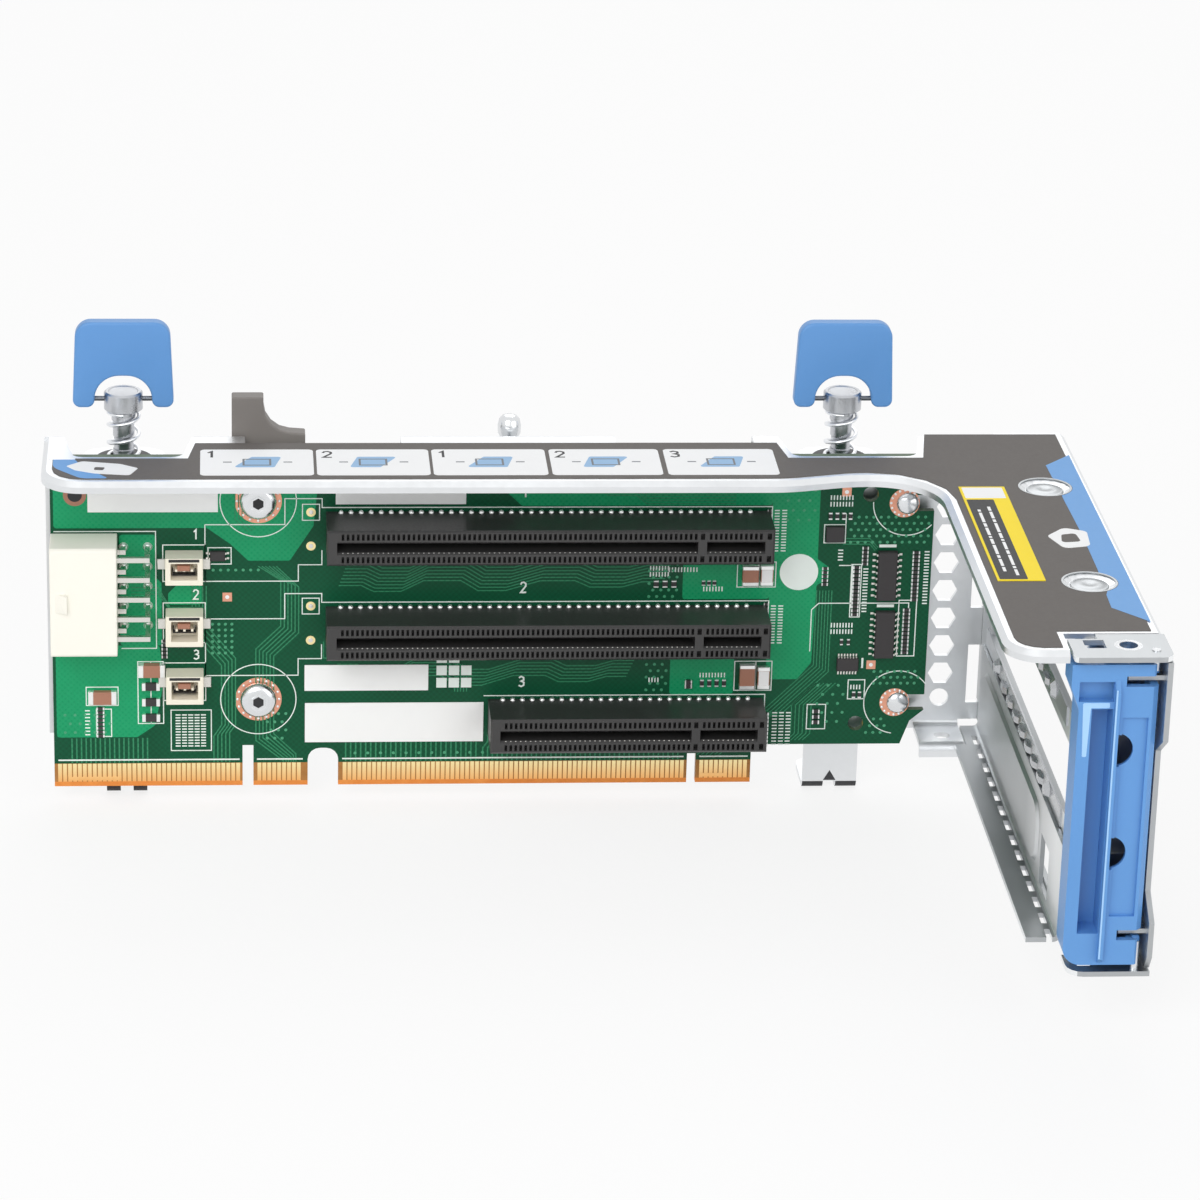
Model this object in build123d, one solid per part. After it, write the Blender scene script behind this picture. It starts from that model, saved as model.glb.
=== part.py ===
from build123d import *
import math
import os

os.makedirs("parts", exist_ok=True)

# A riser cage for expansion cards, from a server two units high, in millimetres.
# While it is modelled, X runs along the card slots towards the rear of the server, Y runs
# away from the side where the cards plug in, and Z is up. X is 0 at the first contact of
# the slots, Y is 0 on the face of the board and Z is 0 on the middle slot. At the end all
# pieces are moved together, so that the origin is the middle of the footprint.

# Small round forms that nothing turns on get a few flat sides, and rounded corners a few steps
round_sides = 16
shank_sides = 8
corner_steps = 4

# Card slots and the brackets of the cards
slot_pitch = 20.32
slot_width = 7.4
slot_height = 11.25
slot_end_wall = 1.95
groove_width = 1.9
groove_depth = 8.4
groove_right = 0.9
groove_mouth = 0.4
short_section = 11.65
key_width = 1.75
long_section_x16 = 71.65
long_section_x8 = 38.65
bracket_width = 18.42
bracket_offset = 7.3
bracket_thick = 0.9

# Riser board: its places are measured from the left end of the long slots
board_thick = 1.6
board_beyond_slot = 54.7
board_right = 36.2
board_top = 35.6
board_edge_z = -35.35
board_bottom = -27.0
board_corner_cut = (2.8, -21.9, 4.6)
fixing_from_slot = 13.5
fixing_z = [26.3, -16.4]
standoff_height = 2.4
standoff_radius = 2.9
screw_radius = 1.5
screw_head_radius = 3.7
screw_head_height = 1.9
socket_radius = 1.5
socket_depth = 1.1
hook_from_edge = 5.5
hook_z = [25.6, -17.8]
hook_radius = 1.3
hook_head_radius = 2.3
hook_head_height = 1.3
hook_collar_radius = 2.7
hook_slot_half = 1.7
tooling_holes = [(-135.9, 26.8), (23.2, 27.5), (22.3, -22.4)]
tooling_radius = 1.6

# Edge fingers: their right end, the chamfer there, and the cuts as left, right, top, radius
edge_right = 1.0
edge_chamfer = 1.5
edge_cuts = [(-12.1, -10.3, -28.9, 0), (-89.6, -83.4, -27.2, 2.5), (-102.8, -100.6, -26.5, 0)]

# Folded cage: one sheet makes the back, the top, the lip and the feet
sheet = 1.0
bend_inside = 1.0
cage_beyond_board = 1.0
cage_top = 38.75
foot_bottom = -38.8
strip_front = -23.6
neck_front = -20.4
neck_start = 3.5
neck_end = 16.5
wing_left = 32.9
wing_right = 62.6
wing_front = -112.0
strip_corner = 8.0
neck_corner = 25.0
throat_corner = 13.0
wing_corner = 7.0
lip_depth = 2.2
lip_corner = 1.0
left_ear_start = 3.6
right_ear_start = 3.8
ear_length = [25.9, 29.1]
relief_from_slot = -16.1
relief_start = -28.6
relief_length = [30.9, 27.7]
relief_depth = 6.0
relief_drop = 4.5
notch_depth = 13.7
notch_slope = 2.3
notch_corner = 2.5
plate_right = 52.0
shelf_below_window = 11.23
shelf_left = 34.8
shelf_right = 44.0
shelf_reach = 11.6
shelf_lip = 3.0
shelf_hole_radius = 1.6
dish_radius = 5.2
dish_flat_radius = 3.9
dish_depth = 0.6
dish_x = 53.4
dish_y = [-27.0, -78.0]

# Vent holes of the back, beside the board
hex_radius = 2.6
hex_pitch = 6.05
hex_x = 39.9
hex_top_z = 23.3
hex_count = 7
round_vent_radius = 1.95
round_vent_z = -18.4

# Captive screws on tabs behind the back
left_screw_from_end = 15.5
right_screw_x = 18.0
screw_reach = 6.0
tab_z = 31.0
tab_width = 16.0
tab_length = 14.5
tab_corner = 4.0
foot_width = [8.2, 11.2]
foot_length = 12.0
foot_corner = 3.0
dart_half_width = 1.3
dart_reach = 4.2
shaft_radius = 2.15
shaft_clearance = 0.35
head_radius = 3.85
head_height = 3.9
head_gap = 10.85
tip_gap = 2.3
pin_radius = 0.5
pin_drop = 1.65
pin_clearance = 0.05
bail_width = 20.1
bail_top_width = 18.6
bail_thick = 3.0
bail_rise = 16.3
bail_foot = 4.35
bail_corner = 3.2
bail_foot_round = 1.5
bail_arch_radius = 5.0
bail_arch_rise = 5.1
bail_cheek = 2.5
pin_end_gap = 0.2
ring_radius = 5.75
ring_thick = 0.7
clip_half = 3.3
clip_thick = 0.7
clip_gap = 0.3
clip_clearance = 0.02
wire_radius = 0.36
spring_radius = 3.05
spring_turns = 3.5
spring_steps = 8
spring_gap = 0.06

# Guide stud and plastic guide behind the back
stud_x = -49.3
stud_radius = 2.35
stud_height = 10.4
stud_crown = 1.3
stud_reach = 4.0
stud_tab_width = 6.5
stud_tab_beyond = 3.85
guide_from_end = 37.0
guide_length = 14.6
guide_foot = 28.4
guide_top = 46.3
guide_ledge = 38.7
guide_post = 6.3
guide_curve = 5.5
guide_thick = 3.5
guide_skin = 1.6
guide_wall = 2.0
guide_peg_half = 1.2
guide_peg_z = 31.6
guide_peg_from_side = 4.4
peg_clearance = 0.05

# Rear wall: a second folded sheet, with the bracket windows, the ledge and the caps
wall_x = 48.0
wall_end_gap = 0.3
window_height = 14.2
window_far = -8.0
window_near = -97.0
flange_width = 6.0
flange_near = -98.0
dash_count = 14
dash_pitch = 7.07
dash_length = 4.5
dash_width = 1.1
dash_first = -2.6
ledge_y = -104.5
cap_left = 44.6
cap_reach = 10.3
cap_front = ledge_y - cap_reach
cap_gap = 0.4
cap_corner = 2.0
bottom_cap_set_back = 2.8
catch_hole = (47.2, 51.0, ledge_y - 5.7, ledge_y - 1.9)
bush_x = 55.2
bush_reach = 4.3
bush_y = ledge_y - bush_reach
bush_radius = 2.6
bush_bore = 1.7
bush_length = 1.75
side_reach = 8.5
side_cut_low = -12.0
side_cut_high = 22.0
side_cut_reach = 3.0
side_cut_slope = 4.0
wall_tabs = [(1.6, 8.4), (-19.3, -7.1)]
wall_tab_gap = 0.3

# Slot cover over the lowest window
cover_far = -3.0
cover_tab = 11.4
cover_seat_gap = 0.1
emboss_height = 0.6
emboss_length = 70.0
emboss_width = 12.8
emboss_corner = 5.0
emboss_from_end = 5.0
cover_window = (-89.5, -80.5)

# Contact strips between the windows
strip_thick = 0.35
strip_width = 3.8
strip_offset = 1.15
finger_count = 7
finger_bulge = 0.7
finger_length = 5.0
finger_width = 1.3
knob_radius = 1.9
knob_top_radius = 1.2
knob_rise = 1.0
knob_y = [-20.2, -81.0]

# Retainer latch
latch_left = 46.2
latch_flare = 1.6
latch_right = 60.6
latch_reach = 8.1
latch_front = ledge_y - latch_reach
latch_gap = 0.35
latch_end_gap = 1.3
latch_wall = 1.4
latch_corner = 1.0
hinge_x = 59.8
hinge_reach = 6.9
hinge_y = ledge_y - hinge_reach
hinge_radius = 0.8
hinge_clearance = 0.05
channel_left = 48.6
channel_right = 52.5
channel_depth = 5.2
channel_low = -16.6
channel_high = 27.9
ridge_width = 0.9
ridge_rise = 1.2
panel_left = 54.3
panel_right = 59.0
panel_low = -13.2
panel_high = 26.2
panel_depth = 0.7
port_radius = 3.2
port_rise = 2.2
latch_slots = [(54.6, 33.2), (56.0, -17.0)]
latch_slot_height = 2.0

# Labels lie on the sheet
label_thick = 0.15
label_margin = 2.1
label_notch_margin = 1.2
label_far = -1.0
panel_label = (36.3, 45.3, -77.5, -27.1)
sticker_thick = 0.12

# Power header with two rows of right-angle pins
header_length = 23.0
header_width = 13.2
header_depth = 9.6
header_z = 8.2
header_pitch = 4.2
header_pocket = 1.7
header_pin = 1.0
pin_fit = 0.02
pin_rows = [(-7.2, 19.2), (-2.6, 14.4)]

# Small headers for batteries, as their low and high ends
battery_from_slot = 24.5
battery_width = 7.5
battery_depth = 5.0
battery_wall = 1.1
battery_ends = [(10.2, 15.9), (-3.0, 3.5), (-15.5, -9.5)]
battery_pin = 0.5
battery_pitch = 1.55

# Values that follow from the ones above
bend_outside = bend_inside + sheet
plate_front = board_thick + standoff_height
plate_back = plate_front + sheet
skin_bottom = cage_top - sheet
screw_y = plate_back + screw_reach
lean_z = cage_top - bend_outside
wall_top = skin_bottom - 0.05
axis_z = [slot_pitch, 0.0, -slot_pitch]
window_z = [z + bracket_offset for z in axis_z]
shelf_z = window_z[2] - shelf_below_window
slots_right = groove_right - short_section - key_width
x16_left = slots_right - long_section_x16 - slot_end_wall
x8_left = slots_right - long_section_x8 - slot_end_wall
fixing_x = x16_left - fixing_from_slot
battery_right = x16_left - battery_from_slot
board_left = x16_left - board_beyond_slot
hook_x = board_right - hook_from_edge
cage_left = board_left - cage_beyond_board
screw_x = [cage_left + left_screw_from_end, right_screw_x]
ears = [
    (cage_left + left_ear_start, cage_left + left_ear_start + ear_length[0]),
    (right_ear_start, right_ear_start + ear_length[1]),
]
reliefs = [
    (x16_left + relief_from_slot, x16_left + relief_from_slot + relief_length[0]),
    (relief_start, relief_start + relief_length[1]),
]
guide_left = cage_left + guide_from_end
head_base = tab_z + head_gap
pin_z = head_base + head_height - pin_drop
latch_top = skin_bottom - latch_end_gap
latch_bottom = shelf_z + latch_end_gap
latch_back = ledge_y - cover_seat_gap - bracket_thick - latch_gap
header_right = board_left + header_width


# Basic shapes
def block(x0, x1, y0, y1, z0, z1):
    middle = Pos((x0 + x1) / 2, (y0 + y1) / 2, (z0 + z1) / 2)
    return middle * Box(abs(x1 - x0), abs(y1 - y0), abs(z1 - z0))


def disc(radius, sides):
    """A circle, or a polygon with its corners on that circle."""
    return RegularPolygon(radius, sides) if sides else Circle(radius)


def around(radius):
    """The corner radius of a hole with flat sides that clears a round piece of this radius."""
    return radius / math.cos(math.pi / round_sides)


def rod_z(x, y, z0, z1, radius, sides=0):
    return Pos(x, y, z0) * extrude(disc(radius, sides), z1 - z0)


def rod_y(x, z, y0, y1, radius, sides=0):
    return Pos(x, y0, z) * Rot(-90, 0, 0) * extrude(disc(radius, sides), y1 - y0)


def rod_x(y, z, x0, x1, radius, sides=0):
    return Pos(x0, y, z) * Rot(0, 90, 0) * extrude(disc(radius, sides), x1 - x0)


def face_of(corners):
    """A face from corners given as (u, v) or (u, v, radius)."""
    points = [corner[:2] for corner in corners]
    radii = [corner[2] if len(corner) > 2 else 0 for corner in corners]
    if not any(radii):
        return make_face(Polyline(*points, close=True))
    return make_face(FilletPolyline(*points, radius=radii, close=True))


def stepped(corners):
    """The same corners with each radius turned into a few points on its arc."""
    points = []
    for k, corner in enumerate(corners):
        here = Vector(*corner[:2])
        radius = corner[2] if len(corner) > 2 else 0
        if not radius:
            points.append((here.X, here.Y))
            continue
        before = (Vector(*corners[k - 1][:2]) - here).normalized()
        after = (Vector(*corners[(k + 1) % len(corners)][:2]) - here).normalized()
        half = math.radians(before.get_angle(after)) / 2
        centre = here + (before + after).normalized() * (radius / math.sin(half))
        start = here + before * (radius / math.tan(half)) - centre
        end = here + after * (radius / math.tan(half)) - centre
        turn = math.pi - 2 * half
        for step in range(corner_steps + 1):
            part = step / corner_steps
            point = centre + (start * math.sin((1 - part) * turn) + end * math.sin(part * turn)) / math.sin(turn)
            points.append((point.X, point.Y))
    return points


def slab_z(corners, z0, z1):
    return Pos(0, 0, z0) * extrude(face_of(corners), z1 - z0)


def slab_y(corners, y0, y1):
    return extrude(Plane.XZ.offset(-y1) * face_of(corners), y1 - y0)


def slab_x(corners, x0, x1):
    return extrude(Plane.YZ.offset(x0) * face_of(corners), x1 - x0)


def bend(along, start, end, centre, quadrant):
    """A quarter turn of the sheet about a line along X, Y or Z through centre.

    centre and quadrant hold the other two coordinates in X, Y, Z order, and
    quadrant gives the side of the centre, as signs, that the turn lies on."""
    turn = {"x": Rot(0, 90, 0), "y": Rot(90, 0, 0), "z": Rot(0, 0, 0)}[along]
    length = end - start
    ring = turn * (Cylinder(bend_outside, length) - Cylinder(bend_inside, length + 1))
    half = bend_outside / 2
    first, second = quadrant[0] * half, quadrant[1] * half
    middle = (start + end) / 2
    if along == "x":
        return Pos(middle, *centre) * (ring & Pos(0, first, second) * Box(length, 2 * half, 2 * half))
    if along == "y":
        return Pos(centre[0], middle, centre[1]) * (
            ring & Pos(first, 0, second) * Box(2 * half, length, 2 * half)
        )
    return Pos(*centre, middle) * (ring & Pos(first, second, 0) * Box(2 * half, 2 * half, length))


# Folded cage
def top_outline(margin, plain_margin=0.0):
    """The plan of the top, set in by the margin, and beside the cap by plain_margin."""
    cap_side = cap_left - cap_gap - plain_margin
    right_front = ledge_y + sheet + wall_end_gap + plain_margin
    beyond = 12.0
    return [
        (cage_left + margin, beyond),
        (cage_left + margin, strip_front + margin, strip_corner - margin),
        (neck_start, strip_front + margin, neck_corner),
        (neck_end, neck_front + margin, neck_corner),
        (wing_left + margin, neck_front + margin, throat_corner + margin),
        (wing_left + margin, wing_front + margin, wing_corner - margin),
        (cap_side, wing_front + margin),
        (cap_side, right_front),
        (wing_right - margin, right_front),
        (wing_right - margin, beyond),
    ]


def top_skin():
    """The top with its turned-down lip, as a tray that is cut off at the back."""
    low = cage_top - lip_depth
    outer = slab_z(top_outline(0), low, cage_top)
    inner = slab_z(top_outline(sheet, -2 * sheet), low - 1, skin_bottom)
    rim = outer.edges().group_by(Axis.Z)[-1]
    rolled = [e for e in rim if not (e.center().X > cap_left - 3 and e.center().Y < ledge_y + 4)
              and e.center().Y < 10]
    return chamfer(rolled, lip_corner) - inner


def notch(left, right, margin=0.0):
    """The plan of a recess in the back edge, which leaves room for a bail that lies down."""
    back = plate_back + 4
    depth = plate_back - notch_depth - margin
    corner = 0 if margin else notch_corner
    return [
        (left - margin, back),
        (left - margin, plate_back),
        (left + notch_slope - margin, depth, corner),
        (right - notch_slope + margin, depth, corner),
        (right + margin, plate_back),
        (right + margin, back),
    ]


def dish(y):
    """A dish that is pressed into the wing, as a cut with sloping sides and a flat bottom."""
    slope = math.degrees(math.atan2(dish_radius - dish_flat_radius, dish_depth))
    cut = extrude(disc(dish_radius, round_sides), dish_depth, taper=slope)
    return Pos(dish_x, y, cage_top) * Rot(180, 0, 0) * cut


def back_outline():
    """The outline of the back plate between its folds."""
    low = shelf_z - sheet
    relief = cage_top - relief_drop
    tab_low = tab_z - bend_outside
    leg_low = foot_bottom + bend_outside
    shelf_low = shelf_z + bend_inside
    corners = [(cage_left, low), (cage_left, lean_z)]
    for (left, right), cut in sorted([(ear, tab_low) for ear in ears] + [(span, relief) for span in reliefs]):
        corners += [(left, lean_z), (left, cut), (right, cut), (right, lean_z)]
    corners += [(plate_right, lean_z), (plate_right, shelf_low), (shelf_left, shelf_low), (shelf_left, low)]
    for x, width in reversed(list(zip(screw_x, foot_width))):
        corners += [(x + width / 2, low), (x + width / 2, leg_low), (x - width / 2, leg_low), (x - width / 2, low)]
    return corners


def screw_tab(x):
    """A tab folded back from the top of the plate, with the hole of a captive screw."""
    centre_y = plate_front + bend_outside
    end_y = plate_front + tab_length
    outline = [(x - tab_width / 2, centre_y), (x + tab_width / 2, centre_y),
               (x + tab_width / 2, end_y, tab_corner), (x - tab_width / 2, end_y, tab_corner)]
    tab = slab_z(stepped(outline), tab_z - sheet, tab_z)
    tab += bend("x", x - tab_width / 2, x + tab_width / 2, (centre_y, tab_z - bend_outside), (-1, 1))
    hole = rod_z(x, screw_y, tab_z - 2, tab_z + 1, around(shaft_radius + shaft_clearance), round_sides)
    return tab - hole


def foot(x, width):
    """A foot folded back from the end of a leg, with a dart pressed across its bend."""
    centre_y = plate_front + bend_outside
    left, right = x - width / 2, x + width / 2
    end_y = centre_y + foot_length
    outline = [(left, centre_y), (right, centre_y), (right, end_y, foot_corner), (left, end_y, foot_corner)]
    flange = slab_z(stepped(outline), foot_bottom, foot_bottom + sheet)
    turn = bend("x", left, right, (centre_y, foot_bottom + bend_outside), (-1, -1))
    inside = dart_reach + sheet * math.sqrt(2) + 0.5
    seat_y, seat_z = plate_front + sheet / 2, foot_bottom + sheet / 2
    dart = slab_x(
        [(seat_y, seat_z), (seat_y, foot_bottom + inside), (plate_front + inside, seat_z)],
        x - dart_half_width, x + dart_half_width)
    dent = slab_x(
        [(plate_front - 1, foot_bottom - 1), (plate_front - 1, foot_bottom + dart_reach + 1),
         (plate_front + dart_reach + 1, foot_bottom - 1)], x - dart_half_width, x + dart_half_width)
    hole_radius = around(shaft_radius + shaft_clearance)
    hole = rod_z(x, screw_y, foot_bottom - 1, foot_bottom + 6, hole_radius, round_sides)
    return flange + turn + dart - dent - hole


def cage_frame():
    edge_y = plate_front - sheet
    flat_right = wall_x
    skin = top_skin()
    skin -= block(cage_left - 1, flat_right, edge_y, 20, cage_top - 9, cage_top + 1)
    skin -= block(flat_right, wing_right + 1, plate_back, 20, cage_top - 9, cage_top + 1)
    for left, right in ears:
        skin -= slab_z(stepped(notch(left, right)), cage_top - 9, cage_top + 1)
    for left, right in reliefs:
        skin -= block(left, right, plate_back - relief_depth, 20, cage_top - 9, cage_top + 1)
    for y in dish_y:
        skin -= dish(y)

    plate = slab_y(back_outline(), plate_front, plate_back)
    gaps = sorted(ears + reliefs)
    starts = [cage_left] + [right for left, right in gaps]
    ends = [left for left, right in gaps] + [flat_right]
    for left, right in zip(starts, ends):
        plate += bend("x", left, right, (edge_y, lean_z), (1, 1))
    for x, width in zip(screw_x, foot_width):
        plate += screw_tab(x)
        plate += foot(x, width)

    # Tab of the guide stud, lanced out of the plate
    half = stud_tab_width / 2
    reach = stud_reach + stud_tab_beyond
    plate -= block(stud_x - half, stud_x + half, plate_front - 1, plate_back + 1, tab_z - sheet - reach, tab_z - sheet)
    plate += block(stud_x - half, stud_x + half, plate_front, plate_back + reach, tab_z - sheet, tab_z)

    # Shelf that is folded forward below the vents, with its own lip
    front = plate_back - shelf_reach
    plate += bend("x", shelf_left, shelf_right, (edge_y, shelf_z + bend_inside), (1, -1))
    plate += block(shelf_left, shelf_right, front + bend_outside, edge_y, shelf_z - sheet, shelf_z)
    plate += bend("x", shelf_left, shelf_right, (front + bend_outside, shelf_z - bend_outside), (-1, 1))
    plate += block(shelf_left, shelf_right, front, front + sheet, shelf_z - shelf_lip, shelf_z - bend_outside)
    plate -= rod_z(hex_x, front + 4.4, shelf_z - 2, shelf_z + 1, shelf_hole_radius)

    # Holes of the back
    through = (plate_front - 1, plate_back + 1)
    for k in range(hex_count):
        plate -= rod_y(hex_x, hex_top_z - k * hex_pitch, *through, hex_radius, 6)
    plate -= rod_y(hex_x, round_vent_z, *through, round_vent_radius, round_sides)
    for low, high in wall_tabs:
        plate -= block(wall_x - 2.6, wall_x + sheet + wall_tab_gap, *through, low - wall_tab_gap, high + wall_tab_gap)
    for x in guide_pegs():
        peg = guide_peg_half + peg_clearance
        plate -= block(x - peg, x + peg, *through, guide_peg_z - peg, guide_peg_z + peg)
    return skin + plate


# Rear wall
def rear_wall():
    low, high = shelf_z - sheet, wall_top
    out = wall_x + sheet
    far = plate_front - wall_end_gap
    turn_low, turn_high = shelf_z + bend_inside, wall_top - bend_outside
    bend_y = ledge_y + bend_outside
    flat_x = wall_x - bend_inside
    wall = block(wall_x, out, bend_y, far, turn_low, turn_high)
    # Top flange turns out, below the wing
    flange_ends = (window_near - 3, far - 8)
    wall += bend("y", *flange_ends, (wall_x + bend_outside, turn_high), (-1, 1))
    wall += block(wall_x + bend_outside, wing_right - 2, *flange_ends, high - sheet, high)
    # Bottom flange turns in, beside the shelf, with a row of dash slots along the fold
    flange_far = far - 1
    shelf_front = plate_back - shelf_reach - cap_gap
    wall += bend("y", flange_near, flange_far, (flat_x, turn_low), (1, -1))
    wall += block(shelf_right + wall_end_gap, flat_x, flange_near, flange_far, low, shelf_z)
    wall += block(wall_x - flange_width, flat_x, flange_near, shelf_front, low, shelf_z)
    for k in range(dash_count):
        y = dash_first - k * dash_pitch
        wall -= block(flat_x - dash_width, flat_x, y - dash_length, y, low - 1, shelf_z + 1)
    # Ledge turns out towards the rear, and takes the tabs of the card brackets
    wall += bend("z", shelf_z, skin_bottom, (wall_x + bend_outside, bend_y), (-1, -1))
    side_x = wing_right - bend_outside
    wall += block(wall_x + bend_outside, side_x, ledge_y, ledge_y + sheet, low, cage_top)
    # Side flange turns forward again, and is cut back beside the middle of the latch
    side_low, side_high = shelf_z + cap_gap, skin_bottom - cap_gap
    wall += bend("z", side_low, side_high, (side_x, ledge_y - bend_inside), (1, 1))
    near = ledge_y - bend_inside
    shape = [
        (near, side_low), (near - side_reach + 2, side_low), (near - side_reach, side_low + 3),
        (near - side_reach, side_cut_low - side_cut_slope / 2), (near - side_cut_reach, side_cut_low + side_cut_slope / 2),
        (near - side_cut_reach, side_cut_high - side_cut_slope), (near - side_reach, side_cut_high),
        (near - side_reach, side_high), (near, side_high),
    ]
    wall += slab_x(shape, wing_right - sheet, wing_right)
    # Tabs that stand in the slots of the latch
    for (x, z) in latch_slots:
        wall += block(x + 0.6, wing_right - sheet + 0.1, hinge_y + 0.6, hinge_y + 2.6, z - 0.45, z + 0.45)
    # Caps above and below the latch
    corner_x, corner_y = wall_x + bend_outside, ledge_y + sheet
    top_cap = [
        (cap_left, ledge_y - 1.3), (corner_x, ledge_y - 1.3), (corner_x, corner_y),
        (wing_right, corner_y), (wing_right, cap_front, cap_corner), (cap_left, cap_front, 1),
    ]
    wall += slab_z(stepped(top_cap), skin_bottom, cage_top)
    bottom_left = cap_left + bottom_cap_set_back
    bottom_cap = [
        (bottom_left, ledge_y - 1), (corner_x, ledge_y - 1), (corner_x, corner_y),
        (wing_right, corner_y), (wing_right, cap_front + 2), (bottom_left, cap_front + 2, 3),
    ]
    wall += slab_z(stepped(bottom_cap), low, shelf_z)
    x0, x1, y0, y1 = catch_hole
    wall -= block(x0, x1, y0, y1, skin_bottom - 0.5, cage_top + 0.5)
    wall -= block(x0 + 2.4, x1 + 1, y0, y1, low - 0.5, shelf_z + 0.5)
    for z in (skin_bottom, low):
        wall -= rod_z(hinge_x, hinge_y, z - 0.5, z + sheet + 0.5, around(hinge_radius), round_sides)
    wall -= rod_z(bush_x, bush_y, skin_bottom - 0.5, cage_top + 0.5, bush_radius, round_sides)
    # Windows of the three brackets
    for z in window_z:
        half = window_height / 2
        wall -= block(wall_x - 0.5, out + 0.5, window_near, window_far, z - half, z + half)
    for tab_low, tab_high in wall_tabs:
        wall += block(wall_x, out, far - 0.1, plate_back + 0.8, tab_low, tab_high)
    return wall


def slot_cover():
    """A blank bracket over the lowest window, with a pressed field and a vent opening."""
    z = window_z[2]
    low, high = z - bracket_width / 2, z + bracket_width / 2
    face = wall_x - cover_seat_gap
    near = ledge_y - cover_seat_gap
    cover = block(face - bracket_thick, face, near - bracket_thick, cover_far, low, high)
    cover += block(face - bracket_thick, face + cover_tab, near - bracket_thick, near, low, high)
    field = extrude(RectangleRounded(emboss_width, emboss_length, emboss_corner), emboss_height, taper=45)
    middle_y = cover_far - emboss_from_end - emboss_length / 2
    cover += Pos(face - bracket_thick, middle_y, z) * Rot(0, -90, 0) * field
    y0, y1 = cover_window
    cover -= block(face - 3, face + 1, y0, y1, z - 7.8, z + 2.2)
    return cover


def contact_strip(z):
    """A springy strip on the wall between two windows, with fingers and two knobs."""
    face = wall_x
    front = face - strip_thick
    strip = block(front, face, window_near + 3, window_far + 4, z - strip_width / 2, z + strip_width / 2)
    span = knob_y[0] - knob_y[1] - 9
    low = z - strip_width / 2 + 0.2
    for k in range(finger_count):
        y = knob_y[0] - 4.5 - span * (k + 0.5) / finger_count
        wide, narrow = finger_length / 2, finger_length / 4
        finger = [(front, y - wide), (front - finger_bulge, y - narrow), (front - finger_bulge, y + narrow), (front, y + wide)]
        strip += slab_z(finger, low, low + finger_width)
    slope = math.degrees(math.atan2(knob_radius - knob_top_radius, knob_rise))
    for y in knob_y:
        knob = extrude(RegularPolygon(knob_radius, 6), knob_rise, taper=slope)
        strip += Pos(front, y, z) * Rot(0, -90, 0) * knob
    return strip


# Riser board and what is soldered to it
def board():
    low = board_edge_z
    step_x, step_z, corner_x = board_right - board_corner_cut[0], board_corner_cut[1], board_right - board_corner_cut[2]
    outline = [(board_left, low), (board_left, board_top), (board_right, board_top)]
    notch_x = hook_x - hook_slot_half
    for z in hook_z:
        high, bottom = z + hook_slot_half, z - hook_slot_half
        outline += [(board_right, high), (notch_x, high, hook_radius), (notch_x, bottom, hook_radius), (board_right, bottom)]
    outline += [(step_x, step_z), (corner_x, board_bottom), (edge_right + 1.6, board_bottom)]
    outline += [(edge_right, board_bottom - edge_chamfer), (edge_right, low)]
    for left, right, top, radius in edge_cuts:
        outline += [(right, low), (right, top, radius), (left, top, radius), (left, low)]
    plate = slab_y(stepped(outline), 0, board_thick)
    for x, z in tooling_holes:
        plate -= rod_y(x, z, -1, board_thick + 1, tooling_radius, round_sides)
    for z in fixing_z:
        plate -= rod_y(fixing_x, z, -1, board_thick + 1, around(screw_radius + 0.2), round_sides)
    hole = header_pin / 2 + 0.2
    for z in header_rows():
        for row_y, foot_from_end in pin_rows:
            x = board_left + foot_from_end
            plate -= block(x - hole, x + hole, -1, board_thick + 1, z - hole, z + hole)
    return plate


def card_slot(z, long_section):
    """An edge connector: a housing with a groove in two sections, parted by the key."""
    left = slots_right - long_section
    half = slot_width / 2
    housing = block(left - slot_end_wall, groove_right + slot_end_wall, -slot_height, 0, z - half, z + half)
    housing = chamfer(housing.faces().sort_by(Axis.Y)[0].edges(), 0.4)
    groove, mouth = groove_width / 2, groove_width / 2 + groove_mouth
    for x0, x1 in ((groove_right - short_section, groove_right), (left, left + long_section)):
        housing -= block(x0, x1, -slot_height - 1, -slot_height + groove_depth, z - groove, z + groove)
        housing -= block(x0, x1, -slot_height - 1, -slot_height + 0.5, z - mouth, z + mouth)
    return housing


def header_rows():
    return [header_z + (k - 2) * header_pitch for k in range(5)]


def power_header():
    """A white housing with a pocket for each contact and a ramp that holds the plug."""
    low, high = header_z - header_length / 2, header_z + header_length / 2
    body = block(board_left, header_right, -header_depth, 0, low, high)
    body = chamfer(body.edges().filter_by(Axis.X), 0.5)
    fit = header_pin / 2 + pin_fit
    pocket = header_pocket
    for z in header_rows():
        for y, foot_from_end in pin_rows:
            body -= block(board_left - 1, header_right - 3, y - pocket, y + pocket, z - pocket, z + pocket)
            body -= block(header_right - 4, header_right + 1, y - fit, y + fit, z - fit, z + fit)
    ramp = slab_z(
        [(board_left + 1, -header_depth), (board_left + 3.4, -header_depth - 1.2), (board_left + 3.4, -header_depth)],
        header_z - 2, header_z + 2,
    )
    return body + ramp


def power_pin(y, foot_from_end, z):
    """A square pin that leaves the header level with the board and turns down through it."""
    half = header_pin / 2
    foot_x = board_left + foot_from_end
    reach = block(board_left + 3, foot_x + half, y - half, y + half, z - half, z + half)
    leg = block(foot_x - half, foot_x + half, y - half, board_thick + 1, z - half, z + half)
    return reach + leg


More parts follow.
